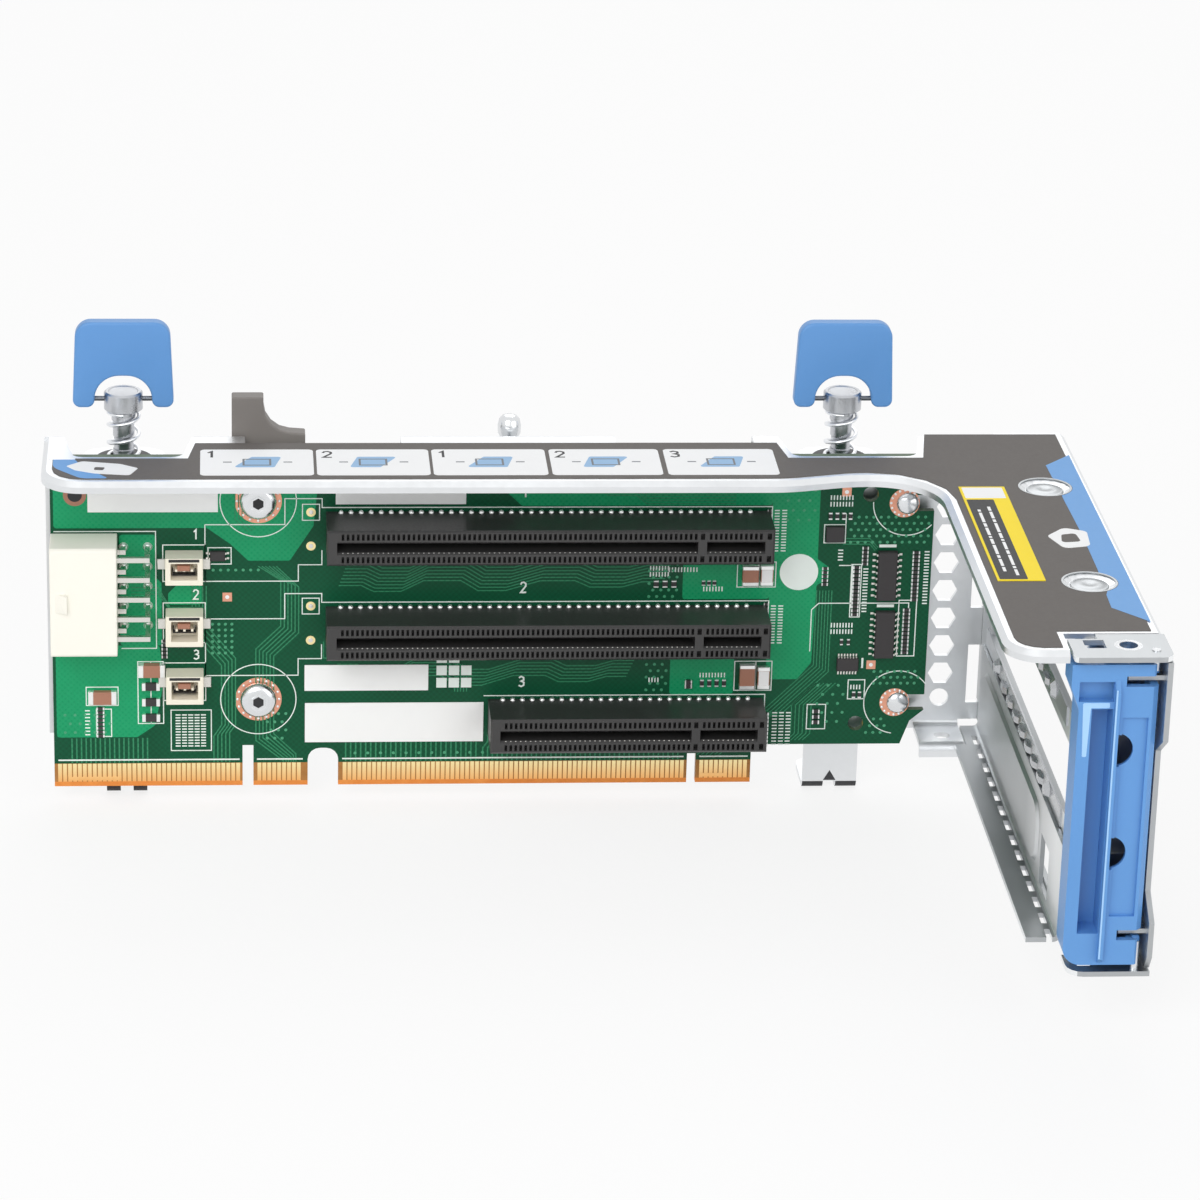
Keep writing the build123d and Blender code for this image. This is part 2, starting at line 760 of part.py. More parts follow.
def battery_header(low, high):
    left = battery_right - battery_width
    wall = battery_wall
    body = block(left, battery_right, -battery_depth, 0, low, high)
    body -= block(left + wall, battery_right - wall, -battery_depth - 1, -1.2, low + wall, high - wall)
    middle = (low + high) / 2
    half = battery_pin / 2
    for k in range(3):
        x = left + battery_width / 2 + (k - 1) * battery_pitch
        body += block(x - half, x + half, 0.8 - battery_depth, -1.1, middle - half, middle + half)
    return body


def chip(x, z, width, length, height):
    """A moulded chip body with its lower left corner at x, z. Its leads are left out."""
    body = block(x, x + width, -height, 0, z, z + length)
    return chamfer(body.faces().sort_by(Axis.Y)[0].edges(), 0.15)


def group(solids):
    """Separate solids that share one node."""
    return Compound(children=[piece if isinstance(piece, Solid) else piece.solids()[0] for piece in solids])


def board_screw(z):
    """A screw with a socket in its head, which ends inside the standoff."""
    head = rod_y(fixing_x, z, -screw_head_height, 0, screw_head_radius, round_sides)
    socket = rod_y(fixing_x, z, -screw_head_height - 1, socket_depth - screw_head_height, socket_radius, 6)
    return head - socket + rod_y(fixing_x, z, 0, plate_front - 0.2, screw_radius, shank_sides)


def standoff(z):
    post = rod_y(fixing_x, z, board_thick, plate_front, standoff_radius, 6)
    return post - rod_y(fixing_x, z, board_thick - 1, plate_front + 1, around(screw_radius + 0.02), round_sides)


def hook_stud(z):
    """A headed stud on the plate, which the open notch of the board slides under."""
    collar = rod_y(hook_x, z, board_thick, plate_front, hook_collar_radius, 6)
    shank = rod_y(hook_x, z, 0, board_thick, hook_radius, shank_sides)
    return collar + shank + rod_y(hook_x, z, -hook_head_height, 0, hook_head_radius, round_sides)


# Captive screws with their bails
def captive_screw(x):
    """A screw whose head is crossed by the pin of its bail."""
    tip = foot_bottom + tip_gap + sheet
    head = rod_z(x, screw_y, head_base, head_base + head_height, head_radius, round_sides)
    head -= rod_x(screw_y, pin_z, x - 6, x + 6, around(pin_radius), round_sides)
    return head + rod_z(x, screw_y, tip, head_base, shaft_radius)


def bail_pin(x):
    half = bail_width / 2 - bail_cheek - pin_end_gap
    return rod_x(screw_y, pin_z, x - half, x + half, pin_radius)


def bail(x):
    """The flip-up handle: a plate with an arch cut out between its two feet."""
    half, top_half = bail_width / 2, bail_top_width / 2
    low, high = pin_z - bail_thick / 2, pin_z + bail_rise
    inner = half - bail_foot
    arch_top = pin_z + bail_arch_rise
    turn, arch = bail_foot_round, bail_arch_radius
    outline = [
        (-half, low, turn), (-top_half, high, bail_corner), (top_half, high, bail_corner), (half, low, turn),
        (inner, low, turn), (inner, arch_top, arch), (-inner, arch_top, arch), (-inner, low, turn),
    ]
    body = slab_y(stepped(outline), -bail_thick / 2, bail_thick / 2)
    bore_end = half - bail_cheek
    bore = rod_x(0, pin_z, -bore_end, bore_end, around(pin_radius + pin_clearance), round_sides)
    return Pos(x, screw_y, 0) * (body - bore)


def retaining_clip(x):
    """A plate with an open slot, pushed onto the shaft below the tab."""
    top = tab_z - sheet - clip_gap
    fit = shaft_radius + clip_clearance
    plate = block(x - clip_half, x + clip_half, screw_y - clip_half, screw_y + clip_half, top - clip_thick, top)
    plate -= rod_z(x, screw_y, top - 2, top + 1, around(fit), round_sides)
    return plate - block(x - fit + 0.4, x + fit - 0.4, screw_y - clip_half - 1, screw_y, top - 2, top + 1)


def seat_ring(x):
    ring = rod_z(x, screw_y, tab_z, tab_z + ring_thick, ring_radius, round_sides)
    return ring - rod_z(x, screw_y, tab_z - 1, tab_z + 3, around(shaft_radius + shaft_clearance), round_sides)


def screw_spring(x):
    """A coil of wire with six sides, whose turns are made of short straight lengths."""
    low = tab_z + ring_thick + spring_gap + wire_radius
    rise = head_base - spring_gap - wire_radius - low
    steps = round(spring_turns * spring_steps)
    points = []
    for k in range(steps + 1):
        angle = 2 * math.pi * spring_turns * k / steps
        points.append((spring_radius * math.cos(angle), spring_radius * math.sin(angle), rise * k / steps))
    path = Polyline(*points)
    section = Plane(origin=path @ 0, z_dir=path % 0) * RegularPolygon(wire_radius, 6)
    return Pos(x, screw_y, low) * sweep(section, path=path, transition=Transition.RIGHT)


# Pieces behind the back
def guide_stud():
    y = plate_back + stud_reach
    body = rod_z(stud_x, y, tab_z, tab_z + stud_height, stud_radius, round_sides)
    return chamfer(body.faces().sort_by(Axis.Z)[-1].edges(), stud_crown)


def guide_pegs():
    return [guide_left + guide_peg_from_side, guide_left + guide_length - guide_peg_from_side]


def cable_guide():
    """A moulded guide with a post and a hollow-curved shoulder, pegged to the back."""
    x = guide_left
    post, right = x + guide_post, x + guide_length
    outline = [
        (x, guide_foot), (x, guide_top), (post, guide_top), (post, guide_ledge + 0.6, guide_curve),
        (right, guide_ledge), (right, guide_foot),
    ]
    body = slab_y(stepped(outline), plate_back, plate_back + guide_thick)
    peg = guide_peg_half
    for peg_x in guide_pegs():
        body += block(peg_x - peg, peg_x + peg, plate_front, plate_back, guide_peg_z - peg, guide_peg_z + peg)
    wall, top = guide_wall, guide_ledge - guide_wall
    body -= block(x + wall, right - wall, plate_back + guide_skin, plate_back + guide_thick + 1, guide_foot + wall, top)
    rib_x = x + guide_length / 2
    return body + block(rib_x - 0.7, rib_x + 0.7, plate_back + guide_skin, plate_back + guide_thick,
                        guide_foot + wall, top)


# Retainer latch
def latch():
    """A hollow moulding with a finger channel, a ridge, a sunk panel and a catch."""
    back, front = latch_back, latch_front
    wall = latch_wall
    low, high = latch_bottom, latch_top
    flare_z = high - 5.5
    outer = slab_y(
        [(latch_left, low, 3.5), (latch_right, low), (latch_right, high), (latch_left - latch_flare, high),
         (latch_left - latch_flare, flare_z + 1), (latch_left, flare_z - 3, 3)],
        front, back,
    )
    corner = [e for e in outer.edges().filter_by(Axis.Z)
              if e.center().X > latch_right - 0.1 and e.center().Y < front + 0.1]
    outer = chamfer(corner, latch_corner)
    body = outer - block(latch_left + wall, latch_right - wall, front + wall, back + 1, low + wall, high - wall)

    # Finger channel, sunk between the left wall and the ridge
    floor = front + channel_depth
    body += block(channel_left - 1, channel_right + 1, front + 0.2, floor + 1, channel_low - 1, channel_high + 1)
    body -= block(channel_left, channel_right, front - 1, floor, channel_low, channel_high)
    # Step and catch at the top
    body += block(latch_left + 1, channel_right + 1, front + 2.2, front + 3.4, channel_high, high - wall)
    body -= block(latch_left - 0.1, channel_right, front - 1, front + 2.2, channel_high + 1.4, flare_z + 2.2)
    catch = [(front + 1.0, high - 3.2), (front + 1.0, high), (front + 3.6, high + 0.9),
             (front + 5.6, high + 0.9), (front + 5.6, high - 3.2)]
    body += slab_x(catch, channel_left, channel_right - 0.6)
    # Ridge and the sunk panel with its two ports
    ridge_x = channel_right + 0.1
    ridge = [(front + 0.2, low + 0.3), (front - ridge_rise, low + 1.6), (front - ridge_rise, high - 5.2),
             (front + 0.2, high - 2.6)]
    body += slab_x(ridge, ridge_x, ridge_x + ridge_width)
    body -= block(panel_left, panel_right, front - 1, front + panel_depth, panel_low, panel_high)
    for z in (window_z[0] - slot_pitch / 2, window_z[1] - slot_pitch / 2):
        port = rod_y(ridge_x + ridge_width, z + port_rise, front - 2, front + wall + 0.6, port_radius)
        body -= port & block(ridge_x + ridge_width + 0.1, latch_right - 2, front - 3, front + 3, low, high)
    # Slots that the tabs of the side flange stand in, and the bores of the hinge
    half = latch_slot_height / 2
    for x, z in latch_slots:
        body -= block(x, latch_right + 1, front - 1, back + 1, z - half, z + half)
    body += block(hinge_x - 1.6, latch_right - 0.2, front + 1.0, hinge_y + 1.6, low + 0.2, low + 4.6)
    for z0, z1 in ((low - 1, low + 5), (high - wall - 1, high + 1)):
        body -= rod_z(hinge_x, hinge_y, z0, z1, around(hinge_radius + hinge_clearance), round_sides)
    return body


def hinge_pin(low, high):
    return rod_z(hinge_x, hinge_y, low, high, hinge_radius)


def guide_bush():
    body = rod_z(bush_x, bush_y, cage_top - bush_length, cage_top, bush_radius, round_sides)
    return body - rod_z(bush_x, bush_y, cage_top - 4, cage_top + 1, bush_bore, round_sides)


# Labels
def top_label():
    face = slab_z(stepped(top_outline(label_margin, label_margin / 2)), cage_top, cage_top + label_thick)
    over = cage_top + 1
    face -= block(cage_left - 1, wing_left, label_far, 20, cage_top - 1, over)
    face -= block(wing_left - 0.1, wing_right + 1, plate_front - 0.2, 20, cage_top - 1, over)
    for left, right in ears:
        face -= slab_z(notch(left, right, label_notch_margin), cage_top - 1, over)
    for y in dish_y:
        face -= rod_z(dish_x, y, cage_top - 1, over, around(dish_radius), round_sides)
    return face


def side_label():
    x0, x1, y0, y1 = panel_label
    low = cage_top + label_thick
    return block(x0, x1, y0, y1, low, low + label_thick)


def board_sticker(x, z, width, length):
    return block(x, x + width, -sticker_thick, 0, z, z + length)


def small_part(x, z, width, length, height):
    return block(x, x + width, -height, 0, z, z + length)


# Small things on the board, each measured from the end or the fixing that it lies beside
lower_sticker_left = fixing_x + 9.4
stickers = [
    (board_left + 7.4, 24.0, 25.8, 9.0),
    (x16_left + 1.9, axis_z[0] + 5.28, 26.0, 7.9),
    (x16_left - 4.2, -14.6, 25.0, 5.6),
    (lower_sticker_left, -25.9, x8_left - 0.9 - lower_sticker_left, 8.6),
]
chips = [
    (hook_x - 5.5, 5.0, 3.9, 10.4, 1.5),
    (hook_x - 5.4, -7.6, 3.9, 10.0, 1.5),
    (hook_x - 12.9, -10.6, 4.4, 2.7, 1.0),
    (hook_x - 16.3, 17.4, 3.7, 3.3, 0.9),
    (fixing_x - 9.6, 13.8, 3.0, 2.0, 1.0),
]
capacitors = [
    (-2.2, 8.6, 3.2, 3.6, 1.4),
    (1.5, 8.6, 2.5, 3.6, 1.2),
    (-2.0, -14.0, 3.0, 4.7, 1.4),
    (1.7, -14.0, 2.4, 4.1, 1.2),
    (board_left + 17.4, -11.0, 4.8, 2.6, 1.6),
    (board_left + 7.3, -17.0, 5.1, 2.7, 1.2),
]

nodes = {
    "cage_frame": cage_frame(),
    "rear_wall": rear_wall(),
    "slot_cover": slot_cover(),
    "contact_strips": group([contact_strip(z - slot_pitch / 2 + strip_offset) for z in window_z[:2]]),
    "riser_board": board(),
    "upper_slot": card_slot(axis_z[0], long_section_x16),
    "middle_slot": card_slot(axis_z[1], long_section_x16),
    "lower_slot": card_slot(axis_z[2], long_section_x8),
    "power_header": power_header(),
    "power_pins": group([power_pin(*row, z) for row in pin_rows for z in header_rows()]),
    "battery_headers": group([battery_header(*ends) for ends in battery_ends]),
    "board_screws": group([board_screw(z) for z in fixing_z]),
    "standoffs": group([standoff(z) for z in fixing_z]),
    "hook_studs": group([hook_stud(z) for z in hook_z]),
    "guide_stud": guide_stud(),
    "cable_guide": cable_guide(),
    "retainer_latch": latch(),
    "hinge_pins": group([
        hinge_pin(latch_top - latch_wall, cage_top + 0.2), hinge_pin(shelf_z - sheet, latch_bottom + 4.4),
    ]),
    "guide_bush": guide_bush(),
    "top_label": top_label(),
    "side_label": side_label(),
    "board_stickers": group([board_sticker(*place) for place in stickers]),
    "logic_chips": group([chip(*place) for place in chips]),
    "chip_capacitors": group([small_part(*place) for place in capacitors]),
}
for side, x in zip(("left", "right"), screw_x):
    nodes[side + "_screw"] = captive_screw(x)
    nodes[side + "_bail"] = bail(x)
    nodes[side + "_bail_pin"] = bail_pin(x)
    nodes[side + "_spring"] = screw_spring(x)
    nodes[side + "_seat_ring"] = seat_ring(x)
    nodes[side + "_clip"] = retaining_clip(x)

# Everything moves together, so that the origin is the middle of the footprint
whole = Compound(children=[Compound(children=piece.solids()) for piece in nodes.values()]).bounding_box()
to_footprint = Pos(-(whole.min.X + whole.max.X) / 2, -(whole.min.Y + whole.max.Y) / 2, -whole.min.Z)
for name, piece in nodes.items():
    solids = [to_footprint * solid for solid in piece.solids()]
    export_step(solids[0] if len(solids) == 1 else Compound(children=solids), "parts/" + name + ".step")
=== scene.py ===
import math

import bmesh
import bpy
import numpy as np
from mathutils import Matrix, Vector


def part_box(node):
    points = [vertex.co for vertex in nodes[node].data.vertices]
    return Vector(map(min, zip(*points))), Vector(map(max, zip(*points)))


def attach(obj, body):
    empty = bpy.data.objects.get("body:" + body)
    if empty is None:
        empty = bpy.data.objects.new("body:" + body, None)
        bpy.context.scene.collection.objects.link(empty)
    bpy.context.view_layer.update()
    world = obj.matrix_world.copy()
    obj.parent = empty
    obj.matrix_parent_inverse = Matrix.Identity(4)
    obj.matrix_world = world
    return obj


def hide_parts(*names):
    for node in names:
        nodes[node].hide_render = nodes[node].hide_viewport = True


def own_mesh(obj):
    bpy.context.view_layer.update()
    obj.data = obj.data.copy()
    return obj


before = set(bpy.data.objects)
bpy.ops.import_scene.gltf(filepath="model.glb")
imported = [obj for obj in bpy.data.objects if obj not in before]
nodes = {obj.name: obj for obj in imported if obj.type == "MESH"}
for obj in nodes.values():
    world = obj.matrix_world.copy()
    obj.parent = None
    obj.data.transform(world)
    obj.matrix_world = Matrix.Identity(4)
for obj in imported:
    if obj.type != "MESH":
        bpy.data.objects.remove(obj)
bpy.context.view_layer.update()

print("frame loaded,", len(nodes), "nodes")

# Places below are in millimetres. X runs along the card slots to the rear and is 0 at their first
# contact, Y runs away from the cards and is 0 on the board, and Z is up and 0 on the middle slot.
slotBox, boardBox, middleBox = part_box("upper_slot"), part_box("riser_board"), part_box("middle_slot")
origin = np.array([
    slotBox[1][0] * 1000 - 2.85,
    boardBox[0][1] * 1000,
    (middleBox[0][2] + middleBox[1][2]) * 500,
])
boardThick = 1.6
skinTop = 38.75  # upper side of the folded sheet
filmTop = 38.9  # upper side of the dark film on it


def gridFaces(rows, columns, wrap=False):
    # one quad between each pair of neighbouring rows and columns, closed round the columns by wrap
    r = np.arange(rows - 1)[:, None]
    c = np.arange(columns if wrap else columns - 1)[None, :]
    beside = (c + 1) % columns
    quads = [r * columns + c, r * columns + beside, (r + 1) * columns + beside, (r + 1) * columns + c]
    return np.stack(np.broadcast_arrays(*quads), -1).reshape(-1, 4)


def carried(rings):
    # closed solids from rings[copy, station, corner, xyz]: walls between stations, and two end faces
    copies, stations, corners = rings.shape[:3]
    first = (np.arange(copies) * stations * corners)[:, None, None]
    walls = (first + gridFaces(stations, corners, True)[None]).reshape(-1, 4)
    ends = np.stack([np.arange(corners), (stations - 1) * corners + np.arange(corners)])
    return rings.reshape(-1, 3), [walls, (first + ends[None]).reshape(-1, corners)]


def merged(*surfaces):
    # one surface from several, with the face numbers moved past the points before them
    points, faces, count = [], [], 0
    for somePoints, someFaces in surfaces:
        points.append(somePoints)
        faces += [some + count for some in someFaces]
        count += len(somePoints)
    return np.concatenate(points), faces


def blocks(low, high, inset=0.0, front="-y"):
    # boxes between corner arrays low and high, with the front edges cut back by inset at 45 degrees
    low, high = np.atleast_2d(np.asarray(low, float)), np.atleast_2d(np.asarray(high, float))
    low, high = np.broadcast_arrays(low, high)
    axis = "xyz".index(front[1])
    sign = 1 if front[0] == "+" else -1
    back, face = (low, high) if sign > 0 else (high, low)
    a, b = [k for k in range(3) if k != axis]
    shrink = np.array([0.0, 0.0, inset])[None, :, None]
    rings = np.empty((len(low), 3, 4, 3))
    along = np.stack([back[:, axis], face[:, axis] - sign * inset, face[:, axis]], 1)
    rings[..., axis] = along[:, :, None]
    signs = np.array([[0, 1, 1, 0], [0, 0, 1, 1]])
    for k, side in ((a, signs[0]), (b, signs[1])):
        start, end = low[:, k][:, None, None] + shrink, high[:, k][:, None, None] - shrink
        rings[..., k] = start + (end - start) * side[None, None, :]
    return carried(rings)


def turned(profile, centres, axis="y", sides=32):
    # a profile of (radius, distance along the axis) turned about an axis through each centre
    profile, centres = np.asarray(profile, float), np.atleast_2d(np.asarray(centres, float))
    angle = np.arange(sides) * 2 * math.pi / sides
    radius, along = profile[:, 0][:, None], profile[:, 1][:, None]
    ring = np.empty((len(profile), sides, 3))
    k = "xyz".index(axis)
    ring[..., k] = along
    ring[..., (k + 1) % 3] = radius * np.cos(angle)
    ring[..., (k + 2) % 3] = radius * np.sin(angle)
    return carried(ring[None] + centres[:, None, None, :])


def arcs(corners, steps=8):
    # an outline from (a, b, radius) corners, each radius run as an arc of the given steps
    corners = np.array([tuple(c) + (0.0,) * (3 - len(c)) for c in corners], float)
    here, radius = corners[:, :2], corners[:, 2]
    before, after = np.roll(here, 1, 0) - here, np.roll(here, -1, 0) - here
    before /= np.linalg.norm(before, axis=1)[:, None]
    after /= np.linalg.norm(after, axis=1)[:, None]
    half = np.arccos(np.clip((before * after).sum(1), -1, 1)) / 2
    middle = (before + after) / np.linalg.norm(before + after, axis=1)[:, None]
    centre = here + middle * (radius / np.sin(half))[:, None]
    touch = (radius / np.tan(half))[:, None]
    start, end = here + before * touch - centre, here + after * touch - centre
    part = np.linspace(0, 1, steps + 1)[None, :, None]
    sweep = (math.pi - 2 * half)[:, None, None]
    swung = start[:, None] * np.sin((1 - part) * sweep) + end[:, None] * np.sin(part * sweep)
    points = centre[:, None] + swung / np.sin(sweep)
    return np.concatenate([points[k] if radius[k] else here[k:k + 1] for k in range(len(corners))])


def offset(outline, amount):
    # the outline moved inwards by amount, each point along the bisector of its two edges
    edge = np.roll(outline, -1, 0) - outline
    edge /= np.linalg.norm(edge, axis=1)[:, None]
    normal = np.stack([-edge[:, 1], edge[:, 0]], 1)
    last = np.roll(normal, 1, 0)
    miter = (normal + last) / (1 + (normal * last).sum(1))[:, None]
    area = (outline[:, 0] * np.roll(outline[:, 1], -1) - np.roll(outline[:, 0], -1) * outline[:, 1]).sum()
    return outline + miter * amount * np.sign(area)


def onBoard(a, b, height):
    # a is X and b is Z, and a point is height proud of the board's face
    return np.stack(np.broadcast_arrays(a, -np.asarray(height, float), b), -1)


def onTop(a, b, height):
    # a is X and b is Y, and a point is height above the film on the cage's top
    return np.stack(np.broadcast_arrays(a, b, filmTop + np.asarray(height, float)), -1)


def plate(outline, low, high, place, edge=0.0):
    # a flat plate between two heights, with its upper rim cut back by edge
    steps = [(0.0, low), (0.0, high - edge), (edge, high)] if edge else [(0.0, low), (0.0, high)]
    rings = [place(*offset(outline, back).T, np.full(len(outline), level)) for back, level in steps]
    return carried(np.stack(rings)[None])


def ribbons(paths, width, low, high, place):
    # flat strips along paths[copy, point, ab], square in section, with mitred corners
    paths = np.asarray(paths, float)
    paths = paths[None] if paths.ndim == 2 else paths
    run = np.diff(paths, axis=1)
    run /= np.linalg.norm(run, axis=2)[..., None]
    side = np.stack([-run[..., 1], run[..., 0]], -1)
    first, last = np.concatenate([side[:, :1], side], 1), np.concatenate([side, side[:, -1:]], 1)
    miter = (first + last) / (1 + (first * last).sum(-1))[..., None] * width / 2
    left, right = paths + miter, paths - miter
    rings = np.stack([
        place(left[..., 0], left[..., 1], low), place(right[..., 0], right[..., 1], low),
        place(right[..., 0], right[..., 1], high), place(left[..., 0], left[..., 1], high),
    ], 2)
    return carried(rings)


def frameOf(a0, b0, a1, b1, width, low, high, place):
    # a rectangle's outline as four strips that meet at the corners
    w = width / 2
    runs = [
        [(a0 - w, b0), (a1 + w, b0)], [(a0 - w, b1), (a1 + w, b1)],
        [(a0, b0 + w), (a0, b1 - w)], [(a1, b0 + w), (a1, b1 - w)],
    ]
    return ribbons(runs, width, low, high, place)


def putMesh(name, surface, finish, body="cage", smooth=None):
    # a mesh object from points in millimetres and faces, with its normals turned outwards
    points, faces = surface
    mesh = bpy.data.meshes.new(name)
    corners = [face for some in faces for face in some.tolist()]
    mesh.from_pydata(((points + origin) / 1000).tolist(), [], corners)
    shell = bmesh.new()
    shell.from_mesh(mesh)
    bmesh.ops.recalc_face_normals(shell, faces=shell.faces)
    shell.to_mesh(mesh)
    shell.free()
    if smooth:
        mesh.shade_smooth()
        mesh.set_sharp_from_angle(angle=math.radians(smooth))
    mesh.materials.append(finish)
    piece = bpy.data.objects.new(name, mesh)
    bpy.context.scene.collection.objects.link(piece)
    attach(piece, body)
    return piece


def shade(red, green, blue):
    # a colour as a screen shows it, 0 to 255, turned into the linear values that a shader takes
    part = np.array([red, green, blue]) / 255
    linear = np.where(part <= 0.04045, part / 12.92, ((part + 0.055) / 1.055) ** 2.4)
    return tuple(float(v) for v in linear) + (1.0,)


class Signal:
    # a node's output, on which sums, products and comparisons of values are written as Python
    def __init__(self, tree, socket):
        self.tree, self.socket = tree, socket

    def run(self, operation, *operands):
        # one Math node, fed by links from signals and by plain values
        made = self.tree.nodes.new("ShaderNodeMath")
        made.operation = operation
        for place, operand in zip(made.inputs, operands):
            if isinstance(operand, Signal):
                self.tree.links.new(operand.socket, place)
            else:
                place.default_value = operand
        return Signal(self.tree, made.outputs[0])

    def __add__(self, other): return self.run("ADD", self, other)
    def __radd__(self, other): return self.run("ADD", other, self)
    def __sub__(self, other): return self.run("SUBTRACT", self, other)
    def __rsub__(self, other): return self.run("SUBTRACT", other, self)
    def __mul__(self, other): return self.run("MULTIPLY", self, other)
    def __rmul__(self, other): return self.run("MULTIPLY", other, self)
    def __truediv__(self, other): return self.run("DIVIDE", self, other)
    def __gt__(self, other): return self.run("GREATER_THAN", self, other)
    def __lt__(self, other): return self.run("LESS_THAN", self, other)
    def __abs__(self): return self.run("ABSOLUTE", self)
    def sine(self): return self.run("SINE", self)


weaveTurn = 5200.0  # radians a metre, so a thread is 1.2 mm wide


class Finish:
    # a material with one shader; fixed values go straight onto the shader's sockets
    def __init__(self, name, fixed=None):
        self.material = bpy.data.materials.new(name)
        self.material.use_nodes = True
        self.tree = self.material.node_tree
        self.tree.nodes.clear()
        self.shader = self.tree.nodes.new("ShaderNodeBsdfPrincipled")
        out = self.tree.nodes.new("ShaderNodeOutputMaterial")
        self.tree.links.new(self.shader.outputs[0], out.inputs[0])
        for socket, value in (fixed or {}).items():
            self.shader.inputs[socket].default_value = value
        self.place = self.node("ShaderNodeTexCoord", output="Object")

    def node(self, kind, settings=None, inputs=None, output=0):
        # any node: its settings first, then the values or links of its sockets
        made = self.tree.nodes.new(kind)
        for key, value in (settings or {}).items():
            setattr(made, key, value)
        for key, value in (inputs or {}).items():
            if isinstance(value, Signal):
                self.tree.links.new(value.socket, made.inputs[key])
            else:
                made.inputs[key].default_value = value
        return Signal(self.tree, made.outputs[output])

    def noise(self, scale, detail=3.0, rough=0.55, stretch=None):
        # a noise of 0 to 1 over the object's own metres, squeezed along an axis by stretch
        spot = self.place
        if stretch:
            spot = self.node("ShaderNodeMapping", inputs={"Vector": spot, "Scale": stretch})
        return self.node("ShaderNodeTexNoise", inputs={
            "Vector": spot, "Scale": scale, "Detail": detail, "Roughness": rough})

    def blend(self, factor, first, second):
        # the first colour at factor 0, the second at 1, and a straight mix between
        return self.node("ShaderNodeMix", {"data_type": "RGBA"}, {0: factor, 6: first, 7: second}, 2)

    def axis(self, letter):
        # one coordinate of the place on the object, in metres
        return self.node("ShaderNodeSeparateXYZ", inputs={0: self.place}, output=letter)

    def normal(self, letter):
        # one part of the surface's direction, -1 to 1
        way = self.node("ShaderNodeNewGeometry", output="Normal")
        return self.node("ShaderNodeSeparateXYZ", inputs={0: way}, output=letter)

    def weave(self):
        # glass cloth: the product of two sines along the board, lifted to 0 to 1
        up, along = self.axis("Z"), self.axis("X")
        return (along * weaveTurn).sine() * (up * weaveTurn).sine() * 0.5 + 0.5

    def feed(self, socket, value):
        # links a signal to one of the shader's sockets
        self.tree.links.new(value.socket, self.shader.inputs[socket])
        return self

    def relief(self, height, depth, strength=0.5):
        # a bump of the given depth in metres
        return self.feed("Normal", self.node("ShaderNodeBump", inputs={
            "Height": height, "Distance": depth, "Strength": strength}))


def scaled(colour, factor):
    # a colour times a factor, kept within 1
    return tuple(min(1.0, v * factor) for v in colour[:3]) + (1.0,)


def metal(name, colour, rough, grain=900.0, stretch=(1, 1, 1), spread=0.12, cloud=60.0, depth=0.00003):
    # plated metal: clouds of slightly darker plating, fine grain in the gloss, and a shallow relief
    made = Finish(name, {"Metallic": 1.0})
    clouds, fine = made.noise(cloud, 4.0), made.noise(grain, 2.0, stretch=stretch)
    tone = clouds * 0.65 + fine * 0.35
    made.feed("Base Color", made.blend(tone, scaled(colour, 1 - spread), scaled(colour, 1 + spread)))
    made.feed("Roughness", rough + (tone - 0.5) * 0.35)
    return made.relief(fine, depth, 0.35).material


def moulded(name, colour, rough, grain=2600.0, spread=0.07, depth=0.00002, coat=0.0):
    # moulded plastic: slow changes of tone, a spark-eroded grain and a gloss that varies with it
    made = Finish(name, {"Coat Weight": coat, "Coat Roughness": 0.25})
    slow, fine = made.noise(45.0, 3.0), made.noise(grain, 2.0)
    tone = slow * 0.7 + fine * 0.3
    made.feed("Base Color", made.blend(tone, scaled(colour, 1 - spread), scaled(colour, 1 + spread)))
    made.feed("Roughness", rough + (fine - 0.5) * 0.22 + (slow - 0.5) * 0.1)
    return made.relief(fine, depth, 0.4).material


def printed(name, colour, rough=0.55, spread=0.04):
    # ink or film: an even colour with faint mottling and orange-peel gloss
    made = Finish(name, {"Specular IOR Level": 0.28})
    mottle, peel = made.noise(220.0, 3.0), made.noise(1500.0, 2.0)
    made.feed("Base Color", made.blend(mottle, scaled(colour, 1 - spread), scaled(colour, 1 + spread)))
    made.feed("Roughness", rough + (peel - 0.5) * 0.15)
    return made.relief(peel, 0.00001, 0.25).material


def level(z):
    # a height above the middle slot in millimetres, as the object's own metres
    return float((z + origin[2]) / 1000)


def laminate():
    # the board: green mask over woven glass, pale cut edges, a warm bed under the fingers, and a
    # bare band below them
    made = Finish("board_mask", {"Specular IOR Level": 0.22})
    up, weave, cloud = made.axis("Z"), made.weave(), made.noise(70.0, 3.0)
    green = made.blend(cloud * 0.6 + weave * 0.4, shade(2, 66, 40), shade(7, 92, 60))
    flank = made.blend(made.noise(500.0, 2.0), shade(142, 132, 62), shade(176, 164, 92))
    cut = made.blend(made.normal("Z") > 0.5, flank, shade(92, 112, 88))
    bare = made.blend(made.noise(400.0, 3.0), shade(222, 126, 52), shade(242, 160, 84))
    bed = made.blend(made.noise(600.0, 2.0), shade(160, 108, 56), shade(188, 134, 76))
    skin = made.blend(abs(made.normal("Y")) > 0.5, cut, green)
    skin = made.blend(up < level(-30.35), skin, bed)
    made.feed("Base Color", made.blend(up < level(-34.35), skin, bare))
    made.feed("Roughness", 0.34 + (cloud - 0.5) * 0.15)
    return made.relief(weave, 0.00002, 0.2).material


